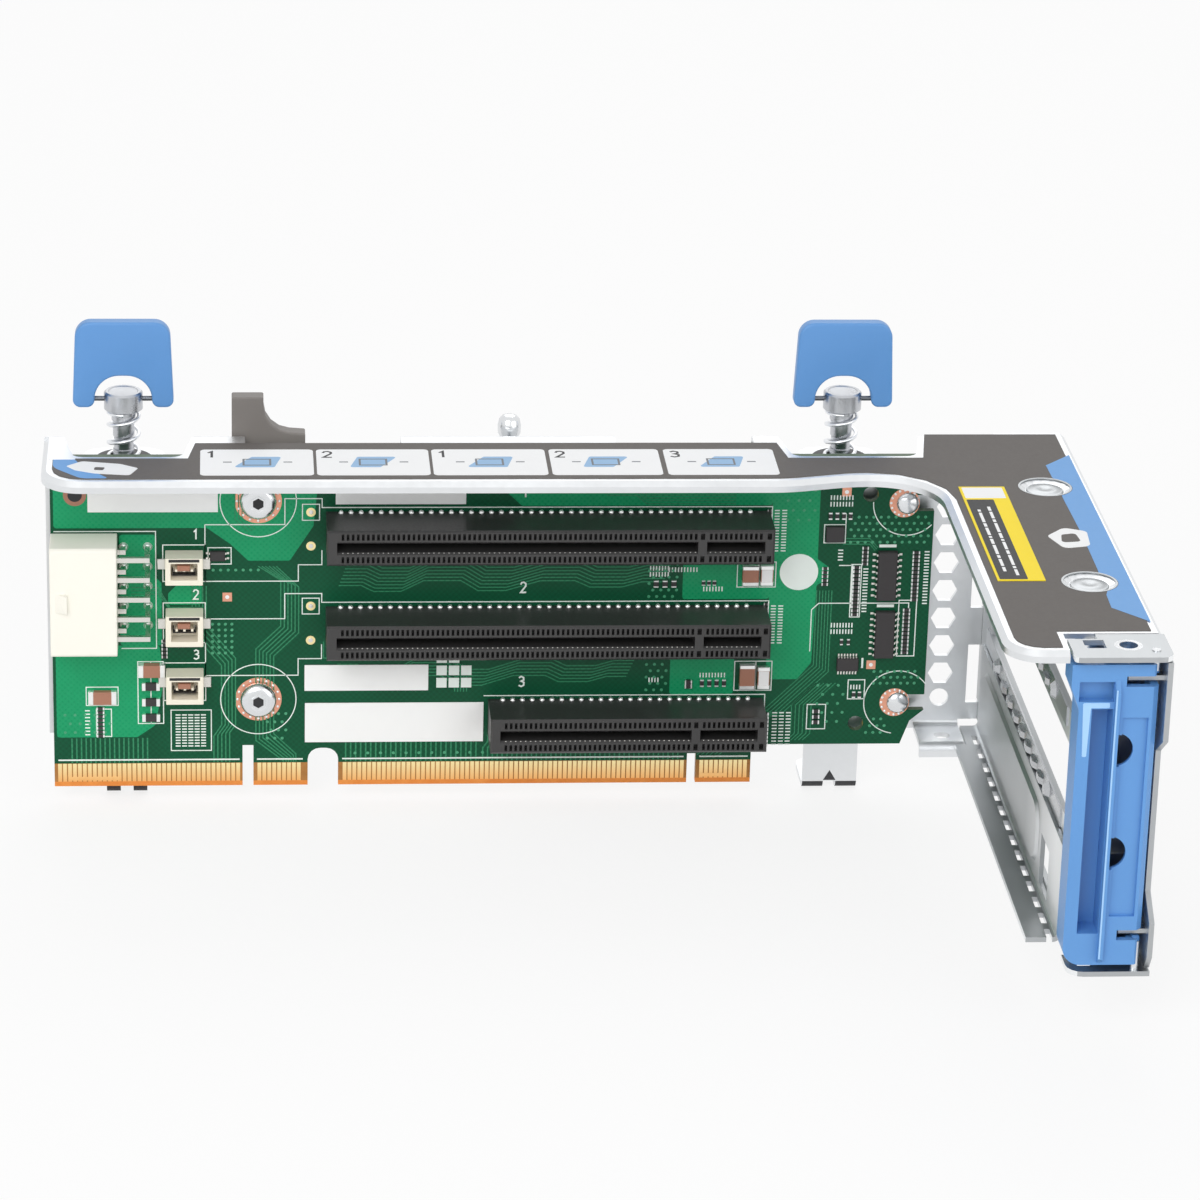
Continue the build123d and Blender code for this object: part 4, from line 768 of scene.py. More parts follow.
markDesign = {
    "width": 0.2, "thick": 0.045, "discThick": 0.05,
    "outlines": [
        [(-140.2, 19.9), (-120.0, 19.9), (-120.0, -5.2), (-127.0, -5.2)],
        [(-110.2, 21.3), (-94.3, 21.3), (-94.3, 26.8), (-86.9, 26.8), (-86.9, 24.9), (3.4, 24.9),
         (3.4, 15.6)],
        [(-110.2, 21.3), (-110.2, 9.2), (-91.6, 9.2), (-91.6, 12.7), (-86.9, 12.7), (-86.9, 15.8)],
        [(-110.2, 1.1), (-94.3, 1.1), (-94.3, 6.5), (-86.9, 6.5), (-86.9, 4.6), (3.4, 4.6), (3.4, -4.6)],
        [(-110.2, 1.1), (-110.2, -11.2), (-91.6, -11.2), (-91.6, -7.6), (-86.9, -7.6), (-86.9, -4.5)],
        [(-54.0, -15.9), (3.4, -15.9), (3.4, -24.6)], [(-121.2, -8.1), (-121.2, -21.6)],
        [(18.4, 21.0), (18.4, 23.4)], [(12.2, -6.5), (12.2, 2.6), (13.6, 4.0), (32.0, 4.0), (32.0, 2.8)],
        [(20.2, 3.0), (20.2, 12.2), (17.4, 12.2)],
    ],
    # x to x at one z, and the width of the bar
    "bars": [
        (-140.0, -103.4, -29.6, 0.3), (-99.9, -90.6, -29.6, 0.3), (-82.6, -12.8, -29.6, 0.3),
        (-9.6, 0.4, -29.6, 0.3), (25.4, 28.9, 16.4, 0.6), (25.5, 29.0, 3.4, 0.6),
    ],
    # x, z, radius, and first and last degree
    "rings": [
        (-99.6, 26.3, 7.6, 0, 360), (-99.6, -16.4, 7.6, 0, 360), (30.7, 25.6, 6.9, 178, 318),
        (30.7, -17.8, 6.9, 35, 262),
    ],
    # two opposite corners
    "boxes": [
        (-117.2, -27.6, -109.1, -18.7), (-90.8, 22.2, -87.4, 25.6), (-90.8, 2.1, -87.4, 5.5),
        (-123.8, -21.6, -118.7, -8.1), (-3.2, 7.6, 1.15, 13.0), (1.25, 7.6, 4.6, 13.0),
        (-3.0, -15.0, 1.25, -8.6), (1.35, -15.0, 4.6, -8.6), (14.1, 17.1, 18.4, 21.0),
        (30.0, -7.6, 33.6, 4.6), (-118.6, 9.2, -110.2, 17.0), (-118.6, -4.0, -110.2, 4.6),
        (-118.6, -16.6, -110.2, -8.4), (-109.6, 12.9, -105.0, 16.4), (-134.2, -17.6, -127.8, -13.6),
        (-132.2, -24.4, -129.2, -18.4), (12.2, -23.6, 16.0, -18.2), (20.0, 1.0, 22.0, 12.4),
        (20.4, -17.0, 23.8, -12.8),
    ],
    # digit, x, z, height and width of the stroke
    "numerals": [
        ("1", -47.0, 27.0, 2.2, 0.34), ("2", -47.0, 6.6, 2.2, 0.34), ("3", -47.0, -13.9, 2.2, 0.34),
        ("1", -112.6, 18.2, 2.0, 0.3), ("2", -112.6, 5.4, 2.0, 0.3), ("3", -112.6, -7.6, 2.0, 0.3),
    ],
    # low and high end of a short upright line, and its width
    "dash": [(23.1, -10.2), (23.1, -8.0)], "dashWidth": 0.4,
    "squares": [(-62.6, -7.6), (-62.6, -10.3), (-62.6, -13.0), (-60.1, -7.6), (-60.1, -10.3), (-60.1, -13.0),
                (-57.6, -10.3), (-57.6, -13.0)], "squareHalf": 1.05,
    # low x, high x, low z, high z, step in x and step in z of rows of short ticks
    "tickHalf": (0.5, 0.13),
    "flat": [
        (4.4, 6.1, 15.4, 24.2, 1.5, 0.62), (4.4, 6.1, -4.6, 3.8, 1.5, 0.62),
        (5.6, 8.4, -27.0, -20.0, 1.4, 0.7), (35.2, 35.3, 3.9, 15.6, 1.4, 0.66),
        (22.9, 23.0, 2.2, 11.6, 1.2, 0.66), (17.6, 17.7, 13.4, 15.8, 1.2, 0.7),
        (-134.0, -133.9, -24.0, -18.4, 1.8, 0.75), (-115.8, -110.6, -26.6, -19.4, 1.28, 0.62),
        (-46.4, -43.2, 14.7, 14.8, 0.9, 1.0),
    ],
    "upright": [
        (15.2, 19.9, 25.4, 26.8, 0.62, 1.4), (16.4, 20.6, -2.2, -0.4, 0.6, 1.4),
        (-17.0, -11.0, 11.4, 11.5, 0.62, 2.0), (-20.8, -17.2, 10.4, 11.9, 0.6, 1.3),
        (-10.0, -5.0, -11.6, -11.5, 0.62, 1.3), (-20.4, -18.6, -12.6, -12.5, 0.6, 1.3),
        (21.0, 23.0, -14.4, -13.2, 0.6, 1.3), (-9.9, -6.0, 7.2, 7.3, 0.62, 1.3),
    ],
    "disc": (9.3, 10.8, 3.9),
}


def mark(points, width=markDesign["width"]):
    # a printed line of even width through the points
    return ribbons([points], width, 0.0, markDesign["thick"], onBoard)


def ringMark(x, z, radius, start, end):
    # a printed arc: 64 points at even angles from start to end
    angle = np.radians(np.linspace(start, end, 64))
    return mark(np.stack([x + radius * np.cos(angle), z + radius * np.sin(angle)], 1))


def patches(places, halfX, halfZ, thick):
    # printed rectangles round places[copy, xz]
    x, z = np.asarray(places, float).T
    return blocks(onBoard(x - halfX, z - halfZ, thick), onBoard(x + halfX, z + halfZ, 0.0))


digitStrokes = {
    "1": [[(0.15, 0.78), (0.5, 1.0), (0.5, 0.0)]],
    "2": [[(0.05, 0.76), (0.2, 0.96), (0.5, 1.0), (0.8, 0.86), (0.8, 0.62), (0.08, 0.0), (0.88, 0.0)]],
    "3": [[(0.08, 0.86), (0.4, 1.0), (0.76, 0.88), (0.78, 0.64), (0.42, 0.53), (0.82, 0.4), (0.8, 0.12),
           (0.42, 0.0), (0.05, 0.12)]],
}


def numeral(digit, a, b, height, width, low, high, place):
    # a plain numeral drawn with straight strokes
    strokes = [np.array(stroke) * (height * 0.62, height) + (a, b) for stroke in digitStrokes[digit]]
    return merged(*[ribbons([stroke], width, low, high, place) for stroke in strokes])


d = markDesign
marks = [mark(path) for path in d["outlines"]]
marks += [mark([(x0, z), (x1, z)], width) for x0, x1, z, width in d["bars"]]
marks.append(mark(d["dash"], d["dashWidth"]))
marks += [ringMark(*row) for row in d["rings"]]
marks += [frameOf(*row, d["width"], 0.0, d["thick"], onBoard) for row in d["boxes"]]
marks += [numeral(*row, 0.0, d["thick"], onBoard) for row in d["numerals"]]
marks.append(patches(d["squares"], d["squareHalf"], d["squareHalf"], d["discThick"]))
long, thin = d["tickHalf"]
for kind, halfX, halfZ in (("flat", long, thin), ("upright", thin, long)):
    marks += [patches(field(*row, 0), halfX, halfZ, d["thick"]) for row in d[kind]]
putMesh("board_screen_marks", merged(*marks), screenWhite)
x, z, radius = d["disc"]
spot = np.radians(np.arange(64) * 360 / 64)
disc = np.stack([x + radius * np.cos(spot), z + radius * np.sin(spot)], 1)
putMesh("board_round_mark", plate(disc, 0.0, d["discThick"], onBoard), screenWhite)
print("marks made")


chipDesign = {
    # low x, high x, places of the leads in z, shoulder height, and reach of a lead
    "wide": [(25.2, 29.1, 5.0 + 0.76 + np.arange(8) * 1.27, 0.8, 1.05),
             (25.3, 29.2, -7.6 + 0.56 + np.arange(8) * 1.27, 0.8, 1.05)],
    "tops": [(-10.6, -7.9, 17.8 + 0.38 + np.arange(7) * 0.6, 0.5, 0.9)],
    "tiny": (-109.2, -106.2, np.array([14.2, 15.3]), 0.5, 0.8),
}


def leads(low, high, places, shoulder, reach, width=0.42, thick=0.16, upright=False):
    # bent leads: the path out of the body, down to the board and out along it, with a flat section
    path = np.array([(-0.1, shoulder), (0.22 * reach, shoulder), (0.45 * reach, 0.14), (reach, 0.14)])
    run = np.diff(path, axis=0)
    run /= np.linalg.norm(run, axis=1)[:, None]
    side = np.stack([-run[:, 1], run[:, 0]], 1)
    first, last = np.vstack([side[:1], side]), np.vstack([side, side[-1:]])
    miter = (first + last) / (1 + (first * last).sum(1))[:, None] * thick / 2
    outer, inner = path + miter, path - miter
    made = []
    for sign, edge in ((-1, low), (1, high)):
        rings = np.empty((len(places), len(path), 4, 3))
        for corner, (profile, shift) in enumerate([(outer, -1), (outer, 1), (inner, 1), (inner, -1)]):
            across = edge + sign * profile[None, :, 0] + np.zeros((len(places), 1))
            along = places[:, None] + shift * width / 2 + np.zeros((1, len(path)))
            rings[:, :, corner, 0] = along if upright else across
            rings[:, :, corner, 2] = across if upright else along
            rings[:, :, corner, 1] = -profile[None, :, 1]
        made.append(carried(rings))
    return merged(*made)


putMesh("chip_leads", merged(
    *[leads(*chip) for chip in chipDesign["wide"]],
    *[leads(*chip, width=0.3, thick=0.12, upright=True) for chip in chipDesign["tops"]],
    leads(*chipDesign["tiny"]),
), tin)


def passives(places, length, width, height, upright=True):
    # bodies and the two plated ends of small two-ended parts, all of one size: the body is six
    # tenths of the length, and each end one fifth of it, 0.03 proud of the body
    places = np.asarray(places, float)
    a, b = (width, length * 0.6) if upright else (length * 0.6, width)
    x, z = places[:, 0], places[:, 1]
    bodies = blocks(onBoard(x - a / 2, z - b / 2, height), onBoard(x + a / 2, z + b / 2, 0.0), 0.04)
    ends = []
    for sign in (-1, 1):
        dx, dz = (0.0, sign * length * 0.4) if upright else (sign * length * 0.4, 0.0)
        ex, ez = (width / 2, length * 0.1) if upright else (length * 0.1, width / 2)
        ends.append(blocks(onBoard(x + dx - ex, z + dz - ez, height + 0.03),
                           onBoard(x + dx + ex, z + dz + ez, 0.0), 0.04))
    return bodies, merged(*ends)


smallDesign = [
    # low x, high x, low z, high z, steps in x and z, length, width, height, and False if it lies flat
    (15.2, 19.6, 22.9, 23.0, 1.35, 2, 1.5, 0.75, 0.35),
    (14.6, 14.7, 8.2, 11.6, 1.5, 0.85, 1.3, 0.6, 0.35, False),
    (21.0, 21.1, 1.6, 11.8, 1.7, 0.85, 1.5, 0.62, 0.35, False),
    (33.0, 33.1, 4.8, 15.6, 2.1, 0.85, 1.5, 0.62, 0.35, False),
    (31.6, 31.7, -6.8, 3.0, 1.8, 0.85, 1.5, 0.62, 0.35, False),
    (-19.6, -16.0, 8.4, 8.5, 1.8, 2.2, 1.5, 1.0, 0.4),
    (22.6, 22.7, 12.6, 16.2, 1.8, 0.85, 1.3, 0.6, 0.35, False),
    (18.6, 20.0, -4.4, -3.8, 1.4, 1.5, 1.3, 0.62, 0.35),
    (-10.0, -7.2, 8.6, 8.7, 1.1, 2.0, 1.1, 0.7, 0.4),
    (-12.4, -12.3, -13.4, -13.3, 2.4, 2, 1.5, 1.8, 0.7, False),
    (2.9, 2.9, 15.9, 24.0, 1.5, 0.9, 1.0, 0.6, 0.35, False),
    (2.9, 2.9, -4.2, 3.9, 1.5, 0.9, 1.0, 0.6, 0.35, False),
    (-131.4, -131.4, -24.2, -18.2, 1.5, 0.85, 1.6, 0.6, 0.35, False),
    (3.6, 3.7, -27.0, -19.4, 1.8, 0.85, 1.5, 0.62, 0.35, False),
    (21.6, 22.9, -16.0, -15.9, 1.2, 2, 1.4, 0.7, 0.35),
    (-9.6, -3.8, -13.3, -13.2, 1.5, 1.6, 1.6, 0.8, 0.35),
    (-17.2, -12.4, 29.2, 29.4, 1.6, 2, 1.0, 0.6, 0.35),
    (-121.2, -121.1, -20.2, -9.2, 2.4, 3.4, 3.6, 1.6, 0.7, False),
    (-118.4, -118.3, -7.0, -3.4, 1.4, 0.85, 1.2, 0.6, 0.35, False),
    (14.0, 14.1, -22.0, -19.4, 1.8, 1.2, 1.5, 0.8, 0.5, False),
]
smallGroups = [passives(field(*row[:6], 0), *row[6:]) for row in smallDesign]
putMesh("small_part_bodies", merged(*[bodies for bodies, ends in smallGroups]), chipBlack)
putMesh("small_part_ends", merged(*[ends for bodies, ends in smallGroups]), solder)

# plated ends of the larger ceramic parts: along z on the first four, and along x on the last two
ceramicDesign = {
    # low x, high x, low z, high z and height
    "tall": [(-2.2, 1.0, 8.6, 12.2, 1.4), (1.5, 4.0, 8.6, 12.2, 1.2), (-2.0, 1.0, -14.0, -9.3, 1.4),
             (1.7, 4.1, -14.0, -9.9, 1.2)],
    "lying": [(-123.4, -118.6, -11.0, -8.4, 1.6), (-133.5, -128.4, -17.0, -14.3, 1.2)],
}
rims = []
for x0, x1, z0, z1, tall in ceramicDesign["tall"]:
    for low, high in ((z0 - 0.35, z0 + 0.55), (z1 - 0.55, z1 + 0.35)):
        rims.append(blocks(onBoard(x0 - 0.06, low, tall + 0.05), onBoard(x1 + 0.06, high, 0.0), 0.12))
for x0, x1, z0, z1, tall in ceramicDesign["lying"]:
    for low, high in ((x0 - 0.3, x0 + 0.8), (x1 - 0.8, x1 + 0.3)):
        rims.append(blocks(onBoard(low, z0 - 0.06, tall + 0.05), onBoard(high, z1 + 0.06, 0.0), 0.12))
whiteTops = [
    blocks(onBoard(x0 + 0.15, z0 + 0.5, tall + 0.06), onBoard(x1 - 0.15, z1 - 0.5, tall), 0.03)
    for x0, x1, z0, z1, tall in ceramicDesign["tall"][1::2]]
putMesh("ceramic_ends", merged(*rims), solder)
putMesh("ceramic_tops", merged(*whiteTops), paper)

headerDesign = {
    "pinX": (-121.6, -126.4), "pinZ": (-0.2, 4.0, 8.2, 12.4, 16.6),
    "fillet": [(1.0, 0.0), (0.95, -0.06), (0.75, -0.5), (0.6, -0.75)],
    "tabX": (-118.9, -109.9), "tabZ": (13.0, 0.2, -12.5), "tab": (0.8, 1.1, 0.5),
    "left": -118.1, "right": -110.6, "tops": (15.9, 3.5, -9.5),
}
d = headerDesign
# solder at the feet of the header's pins, and tabs and cores of the small headers, with painted shade:
# a dark strip along each top for the shadow in the gap at the back, and dark U-shaped walls round each core
feet = np.array([(x, z) for x in d["pinX"] for z in d["pinZ"]])
putMesh("pin_solder", turned(d["fillet"], onBoard(*feet.T, 0.0), "y", 20), solder, smooth=60)
tabX, tabZ = np.array([(x, z) for x in d["tabX"] for z in d["tabZ"]]).T
wide, tall, proud = d["tab"]
putMesh("small_header_tabs", blocks(
    onBoard(tabX - wide, tabZ - tall, proud), onBoard(tabX + wide, tabZ + tall, 0.0), 0.12), tin)
tops = np.array(d["tops"])
left, right = d["left"] * np.ones(3), d["right"] * np.ones(3)
putMesh("small_header_cores", blocks(
    onBoard(left + 2.4, tops - 2.9, 4.3), onBoard(right - 2.6, tops - 1.8, 0.6), 0.1), tan)
# painted shadow: a dark strip for the gap at the back of each small header's top
putMesh("small_header_gap_painted_shade", blocks(
    onBoard(left + 0.7, tops - 0.75, 5.04), onBoard(right - 0.7, tops - 0.15, 4.8), 0.02), ringBlack)
# painted shade: dark U-shaped walls in the cavity for the shade round the core
hooks = [[(d["left"] + 1.5, top - 3.3), (d["left"] + 1.5, top - 4.3), (d["right"] - 1.5, top - 4.3),
          (d["right"] - 1.5, top - 3.3)] for top in tops]
putMesh("small_header_painted_shade_walls", ribbons(hooks, 0.18, 0.6, 2.6, onBoard), darkInk)
print("small parts made")


labelDesign = {
    "panels": [(-111.0, -88.9), (-88.3, -66.2), (-65.6, -43.2), (-42.4, -20.7), (-19.7, 2.2)],
    "near": -19.8, "far": -4.9, "round": 1.0, "ink": 0.03, "over": 0.045, "top": 0.06,
    "numerals": "12123", "numeral": (1.2, -4.6, 3.4, 0.5),
    "bar": [(-4.6, -15.2), (-2.0, -9.2), (4.8, -9.2), (2.4, -15.2)],
    "box": (-2.6, -14.0, 2.6, -10.6, 0.4),
    "dashes": [(-6.6, -4.9), (5.2, 6.9)], "dashY": -12.2, "dash": 0.5,
    # outlines as X, Y and corner radius
    "blueEnd": [(-139.6, -10.6, 0.4), (-139.6, -15.0, 5.0), (-134.0, -21.3, 3.0), (-128.6, -21.3, 0.4),
                (-133.6, -15.0, 0.4), (-135.4, -10.6, 0.4)],
    "bareEar": [(-140.4, -0.8, 0.3), (-140.4, -10.6, 0.3), (-135.2, -10.6, 0.3), (-137.6, -0.8, 0.3)],
    "lozenge": [(-137.0, -14.4, 0.5), (-134.0, -11.6, 1.4), (-126.5, -13.2, 1.5), (-123.0, -15.6, 0.5),
                (-124.6, -19.6, 0.9), (-131.5, -18.6, 1.5), (-135.2, -16.8, 1.0)],
    "lozengeCentre": [(-131.6, -16.6, 0.4), (-129.8, -16.8, 0.4), (-129.4, -15.2, 0.4), (-131.4, -15.0, 0.4)],
    "wingMark": [(49.4, -54.0, 1.4), (53.2, -49.6, 1.6), (57.4, -51.6, 1.4), (56.8, -59.4, 1.6),
                 (51.6, -60.6, 1.4)],
    "wingCentre": [(51.6, -57.6, 0.8), (55.4, -57.0, 0.8), (55.0, -52.6, 0.8), (52.2, -53.4, 0.8)],
}


def slab(x0, x1, y0, y1, radius, low=0.0, high=0.03, steps=6):
    # a rectangle with round corners lying on the film
    outline = arcs([(x0, y0, radius), (x1, y0, radius), (x1, y1, radius), (x0, y1, radius)], steps)
    return plate(outline, low, high, onTop)


d = labelDesign
panels = [slab(x0, x1, d["near"], d["far"], d["round"]) for x0, x1 in d["panels"]]
putMesh("strip_panels", merged(*panels), panelWhite)
drawing = {"pale": [], "grey": [], "dark": []}
for k, (x0, x1) in enumerate(d["panels"]):
    middle = (x0 + x1) / 2
    across, below, height, width = d["numeral"]
    drawing["dark"].append(numeral(
        d["numerals"][k], x0 + across, d["far"] + below, height, width, d["ink"], d["over"], onTop))
    # a slanted bar, leaning to either side by turns, with a box and two dashes over it
    lean = (-1) ** k
    shifts = (0, lean, 0, lean)
    bar = arcs([(middle + a + shift, b, 0.5) for (a, b), shift in zip(d["bar"], shifts)], 4)
    drawing["pale"].append(plate(bar, d["ink"], d["over"], onTop))
    a0, b0, a1, b1, width = d["box"]
    drawing["grey"].append(frameOf(middle + a0, b0, middle + a1, b1, width, d["over"], d["top"], onTop))
    dashes = [[(middle + a0, d["dashY"]), (middle + a1, d["dashY"])] for a0, a1 in d["dashes"]]
    drawing["grey"].append(ribbons(dashes, d["dash"], d["ink"], d["over"], onTop))
putMesh("strip_numerals", merged(*drawing["dark"]), darkInk)
putMesh("strip_pale_shapes", merged(*drawing["pale"]), paleBlue)
putMesh("strip_grey_lines", merged(*drawing["grey"]), greyInk)

# the wing: a blue field cut round two pressed dishes, each with a rim and a stepped middle
wingDesign = {
    "dishes": [(53.4, -27.0), (53.4, -78.0)], "bite": 5.35, "rim": 5.05, "rimWidth": 0.4,
    "embossing": [(3.7, -0.6), (3.5, -0.4), (2.9, -0.34), (2.6, -0.16), (1.2, -0.1), (0.8, -0.28),
                  (0.3, -0.3)],
    "start": [(61.2, -98.0), (61.2, -8.6), (55.6, -14.6), (55.7, -21.6)],
    "between": [(55.9, -34.0), (56.2, -52.0), (56.0, -72.0)], "end": [(55.4, -84.6), (55.2, -91.0)],
}
w = wingDesign
bite = np.radians(np.linspace(62, -62, 17))
dishEdge = np.stack([w["bite"] * np.cos(bite), w["bite"] * np.sin(bite)], 1)
first, second = w["dishes"]
wingBlue = np.concatenate([w["start"], dishEdge + first, w["between"], dishEdge + second, w["end"]])
turn = np.linspace(0, 2 * math.pi, 65)
rims = [np.stack([x + w["rim"] * np.cos(turn), y + w["rim"] * np.sin(turn)], 1) for x, y in w["dishes"]]
putMesh("bare_ear", plate(arcs(d["bareEar"], 4), -0.15, 0.02, onTop), zinc)
putMesh("film_blue_fields", merged(
    plate(arcs(d["blueEnd"]), 0.0, d["ink"], onTop), plate(wingBlue, 0.0, d["ink"], onTop)), labelBlue)
putMesh("film_white_shapes", merged(
    plate(arcs(d["lozenge"]), 0.0, 0.05, onTop), plate(arcs(d["wingMark"]), 0.0, 0.05, onTop)), panelWhite)
putMesh("end_mark_centre", plate(arcs(d["lozengeCentre"], 5), 0.05, 0.065, onTop), film)
# painted shade: the dishes and their rims are in a darker zinc than the wing round them
putMesh("wing_dish_embossing", turned(
    w["embossing"], [(x, y, skinTop) for x, y in w["dishes"]], "z", 48), dishShadeZinc, smooth=30)
putMesh("wing_dish_rims", ribbons(rims, w["rimWidth"], -0.15, 0.06, onTop), dishShadeZinc)
putMesh("wing_mark_centre", plate(arcs(d["wingCentre"], 6), 0.05, 0.065, onTop), film)

# the yellow label keeps a border and a band, with a dark field and a pale one inside it
sideDesign = {
    "dark": (36.8, 42.1, -76.9, -34.4), "pale": (36.8, 44.7, -33.6, -27.7), "low": 0.15, "high": 0.17,
    "runs": [2.2, 3.6, 1.4, 4.8, 2.6, 0.9, 3.9, 1.8, 5.2, 1.1, 3.0], "gap": 0.6, "width": 0.6, "top": 0.185,
}
s = sideDesign
putMesh("side_dark_field", slab(*s["dark"], 0.2, s["low"], s["high"]), darkInk)
putMesh("side_pale_field", slab(*s["pale"], 0.2, s["low"], s["high"]), panelWhite)
runs = np.array(s["runs"])
dashes = []
for a, b0, run in ((38.4, -73.5, runs[:10]), (40.5, -75.5, runs[::-1])):
    starts = b0 + np.cumsum(run + s["gap"]) - run
    dashes += [[(a, start), (a, start + length)] for start, length in zip(starts, run)]
putMesh("side_plain_dashes", ribbons(dashes, s["width"], s["high"], s["top"], onTop), panelWhite)
print("labels made")


footDesign = {
    "front": 4.0, "low": -38.8, "bend": 2.0, "dart": 4.2, "dartHalf": 1.3, "proud": 0.04,
    "feet": [(-126.3, 8.2), (18.0, 11.2)],
}


def footPaintedShade(x, width):
    # painted shade: a dark strip over the lower part of the foot's bend, where its underside is in shade,
    # in two parts with the dart between them, and a dark triangle on the leg above the dart for its shade
    d = footDesign
    turn = np.radians(np.linspace(8, 80, 12))
    made = []
    for x0, x1 in ((x - width / 2, x - d["dartHalf"]), (x + d["dartHalf"], x + width / 2)):
        rings = []
        for reach in (d["bend"], d["bend"] + d["proud"]):
            y = d["front"] + d["bend"] - reach * np.cos(turn)
            z = d["low"] + d["bend"] - reach * np.sin(turn)
            rings.append((y, z))
        (y0, z0), (y1, z1) = rings
        corners = [(x0, y0, z0), (x1, y0, z0), (x1, y1, z1), (x0, y1, z1)]
        made.append(carried(np.stack([np.stack(np.broadcast_arrays(*c), -1) for c in corners], 1)[None]))
    half, foot = d["dartHalf"], d["low"] + d["bend"]
    triangle = np.array([(x, foot + d["dart"] - d["bend"]), (x - half, foot), (x + half, foot)])
    made.append(plate(triangle, -d["front"], d["proud"] - d["front"], onBoard))
    return merged(*made)


putMesh("foot_painted_shade", merged(*[footPaintedShade(x, width) for x, width in footDesign["feet"]]), footShadeGrey)


latchDesign = {
    "front": -112.6, "thick": 0.05,
    "ridge": [(52.8, -21.2), (52.8, 32.0)], "ridgeRise": 1.2, "ridgeWidth": 0.3,
    "catch": [(46.9, 29.1, 0.3), (51.8, 29.1, 0.2), (51.8, 28.1, 0.2), (48.4, 28.1, 0.2), (48.1, 18.6, 0.2),
              (47.3, 18.6, 0.2)],
}


def onLatch(a, b, height):
    # a is X and b is Z, and a point is height proud of the latch's front face
    return np.stack(np.broadcast_arrays(a, latchDesign["front"] - np.asarray(height, float), b), -1)


d = latchDesign
# painted highlights: a pale L along the top-left edge of the channel, and a pale line on the ridge's crest
catchHighlight = plate(arcs(d["catch"], 4), 0.0, d["thick"], onLatch)
putMesh("latch_catch_painted_highlight", catchHighlight, latchHighlight, "retainer_latch")
ridgeHighlight = ribbons([d["ridge"]], d["ridgeWidth"], d["ridgeRise"], d["ridgeRise"] + 0.04, onLatch)
putMesh("latch_ridge_painted_highlight", ridgeHighlight, latchHighlight, "retainer_latch")
print("edges made")


handleDesign = {
    "x": {"left": -126.3, "right": 18.0}, "y": 11.0, "pinZ": 44.1, "low": 42.6, "high": 60.4,
    "width": 20.1, "top": 18.6, "thick": 3.0, "foot": 4.35, "corner": 3.2, "footRound": 1.5,
    "arch": 5.0, "archRise": 5.1, "edge": 0.5,
}


def handle(x):
    # the plate's outline carried through its thickness, drawn in near both faces along a quarter circle
    d = handleDesign
    half, topHalf, inner = d["width"] / 2, d["top"] / 2, d["width"] / 2 - d["foot"]
    archTop = d["pinZ"] + d["archRise"]
    outline = arcs([
        (-half, d["low"], d["footRound"]), (-topHalf, d["high"], d["corner"]),
        (topHalf, d["high"], d["corner"]), (half, d["low"], d["footRound"]),
        (inner, d["low"], d["footRound"]), (inner, archTop, d["arch"]),
        (-inner, archTop, d["arch"]), (-inner, d["low"], d["footRound"]),
    ], 10)
    turn = np.linspace(0, math.pi / 2, 5)
    back, apart = d["edge"] * (1 - np.sin(turn)), d["thick"] / 2 - d["edge"] * (1 - np.cos(turn))
    stations = [(b, sign * v) for sign in (-1, 1) for b, v in zip(back, apart)]
    stations.sort(key=lambda station: station[1])
    rings = []
    for b, v in stations:
        shape = offset(outline, b)
        rings.append(np.stack([shape[:, 0] + x, np.full(len(shape), d["y"] + v), shape[:, 1]], 1))
    return carried(np.stack(rings)[None])


screwDesign = {
    "shaft": 2.15, "head": 3.85, "base": 41.85, "top": 45.75, "tip": -35.5,
    "washer": [(2.5, 31.0), (5.5, 31.0), (5.75, 31.2), (5.7, 31.5), (5.2, 31.7), (2.5, 31.7)],
}
s = screwDesign
turning = [
    (1.2, s["tip"]), (1.9, s["tip"] + 1.2), (2.15, s["tip"] + 2.2), (s["shaft"], 33.6), (1.95, 33.8),
    (1.95, 36.2), (s["shaft"], 36.4), (s["shaft"], 39.4), (2.4, 39.8), (2.4, s["base"]),
    (s["head"] - 0.3, s["base"]), (s["head"], s["base"] + 0.25), (s["head"], s["top"] - 0.35),
    (s["head"] - 0.35, s["top"]), (3.0, s["top"]), (2.8, s["top"] - 0.18), (0.6, s["top"] - 0.2),
]
for side, x in handleDesign["x"].items():
    centre = [(x, handleDesign["y"], 0.0)]
    bailPiece = putMesh(side + "_bail_moulding", handle(x), blue, side + "_bail", smooth=35)
    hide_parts(side + "_bail")
    shaft = turned(turning, centre, "z", 56)
    screw = putMesh(side + "_screw_turned", shaft, turnedSteel, side + "_screw", smooth=30)
    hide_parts(side + "_screw")
    ring = putMesh(side + "_seat_washer", turned(s["washer"], centre, "z", 48), ringBlack, smooth=30)
    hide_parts(side + "_seat_ring")


springDesign = {
    "radius": 3.05, "wire": 0.38, "turns": 3.5, "low": 31.75, "high": 41.8, "stroke": 3.0,
    "stations": 120, "sides": 12,
}


def coil(x, y):
    # a circle of wire carried up a helix, with flat first and last half turns
    d = springDesign
    part = np.linspace(0, 1, d["stations"])[:, None]
    angle = (part * d["turns"] + 0.25) * 2 * math.pi
    ease = np.clip((part * d["turns"] - 0.5) / (d["turns"] - 1.0), 0, 1)
    height = d["low"] + d["wire"] + ease * (d["high"] - d["low"] - 2 * d["wire"])
    section = np.arange(d["sides"])[None, :] * 2 * math.pi / d["sides"]
    reach = d["radius"] + d["wire"] * np.cos(section)
    points = [x + reach * np.cos(angle), y + reach * np.sin(angle), height + d["wire"] * np.sin(section)]
    return carried(np.stack(np.broadcast_arrays(*points), -1)[None])


for side, x in handleDesign["x"].items():
    d = springDesign
    spring = putMesh(side + "_spring_wire", coil(x, handleDesign["y"]), wireSteel, smooth=60)
    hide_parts(side + "_spring")
    low = tuple(float(v) / 1000 for v in np.array([x, handleDesign["y"], d["low"]]) + origin)
    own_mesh(spring)
print("handles, screws and springs made")


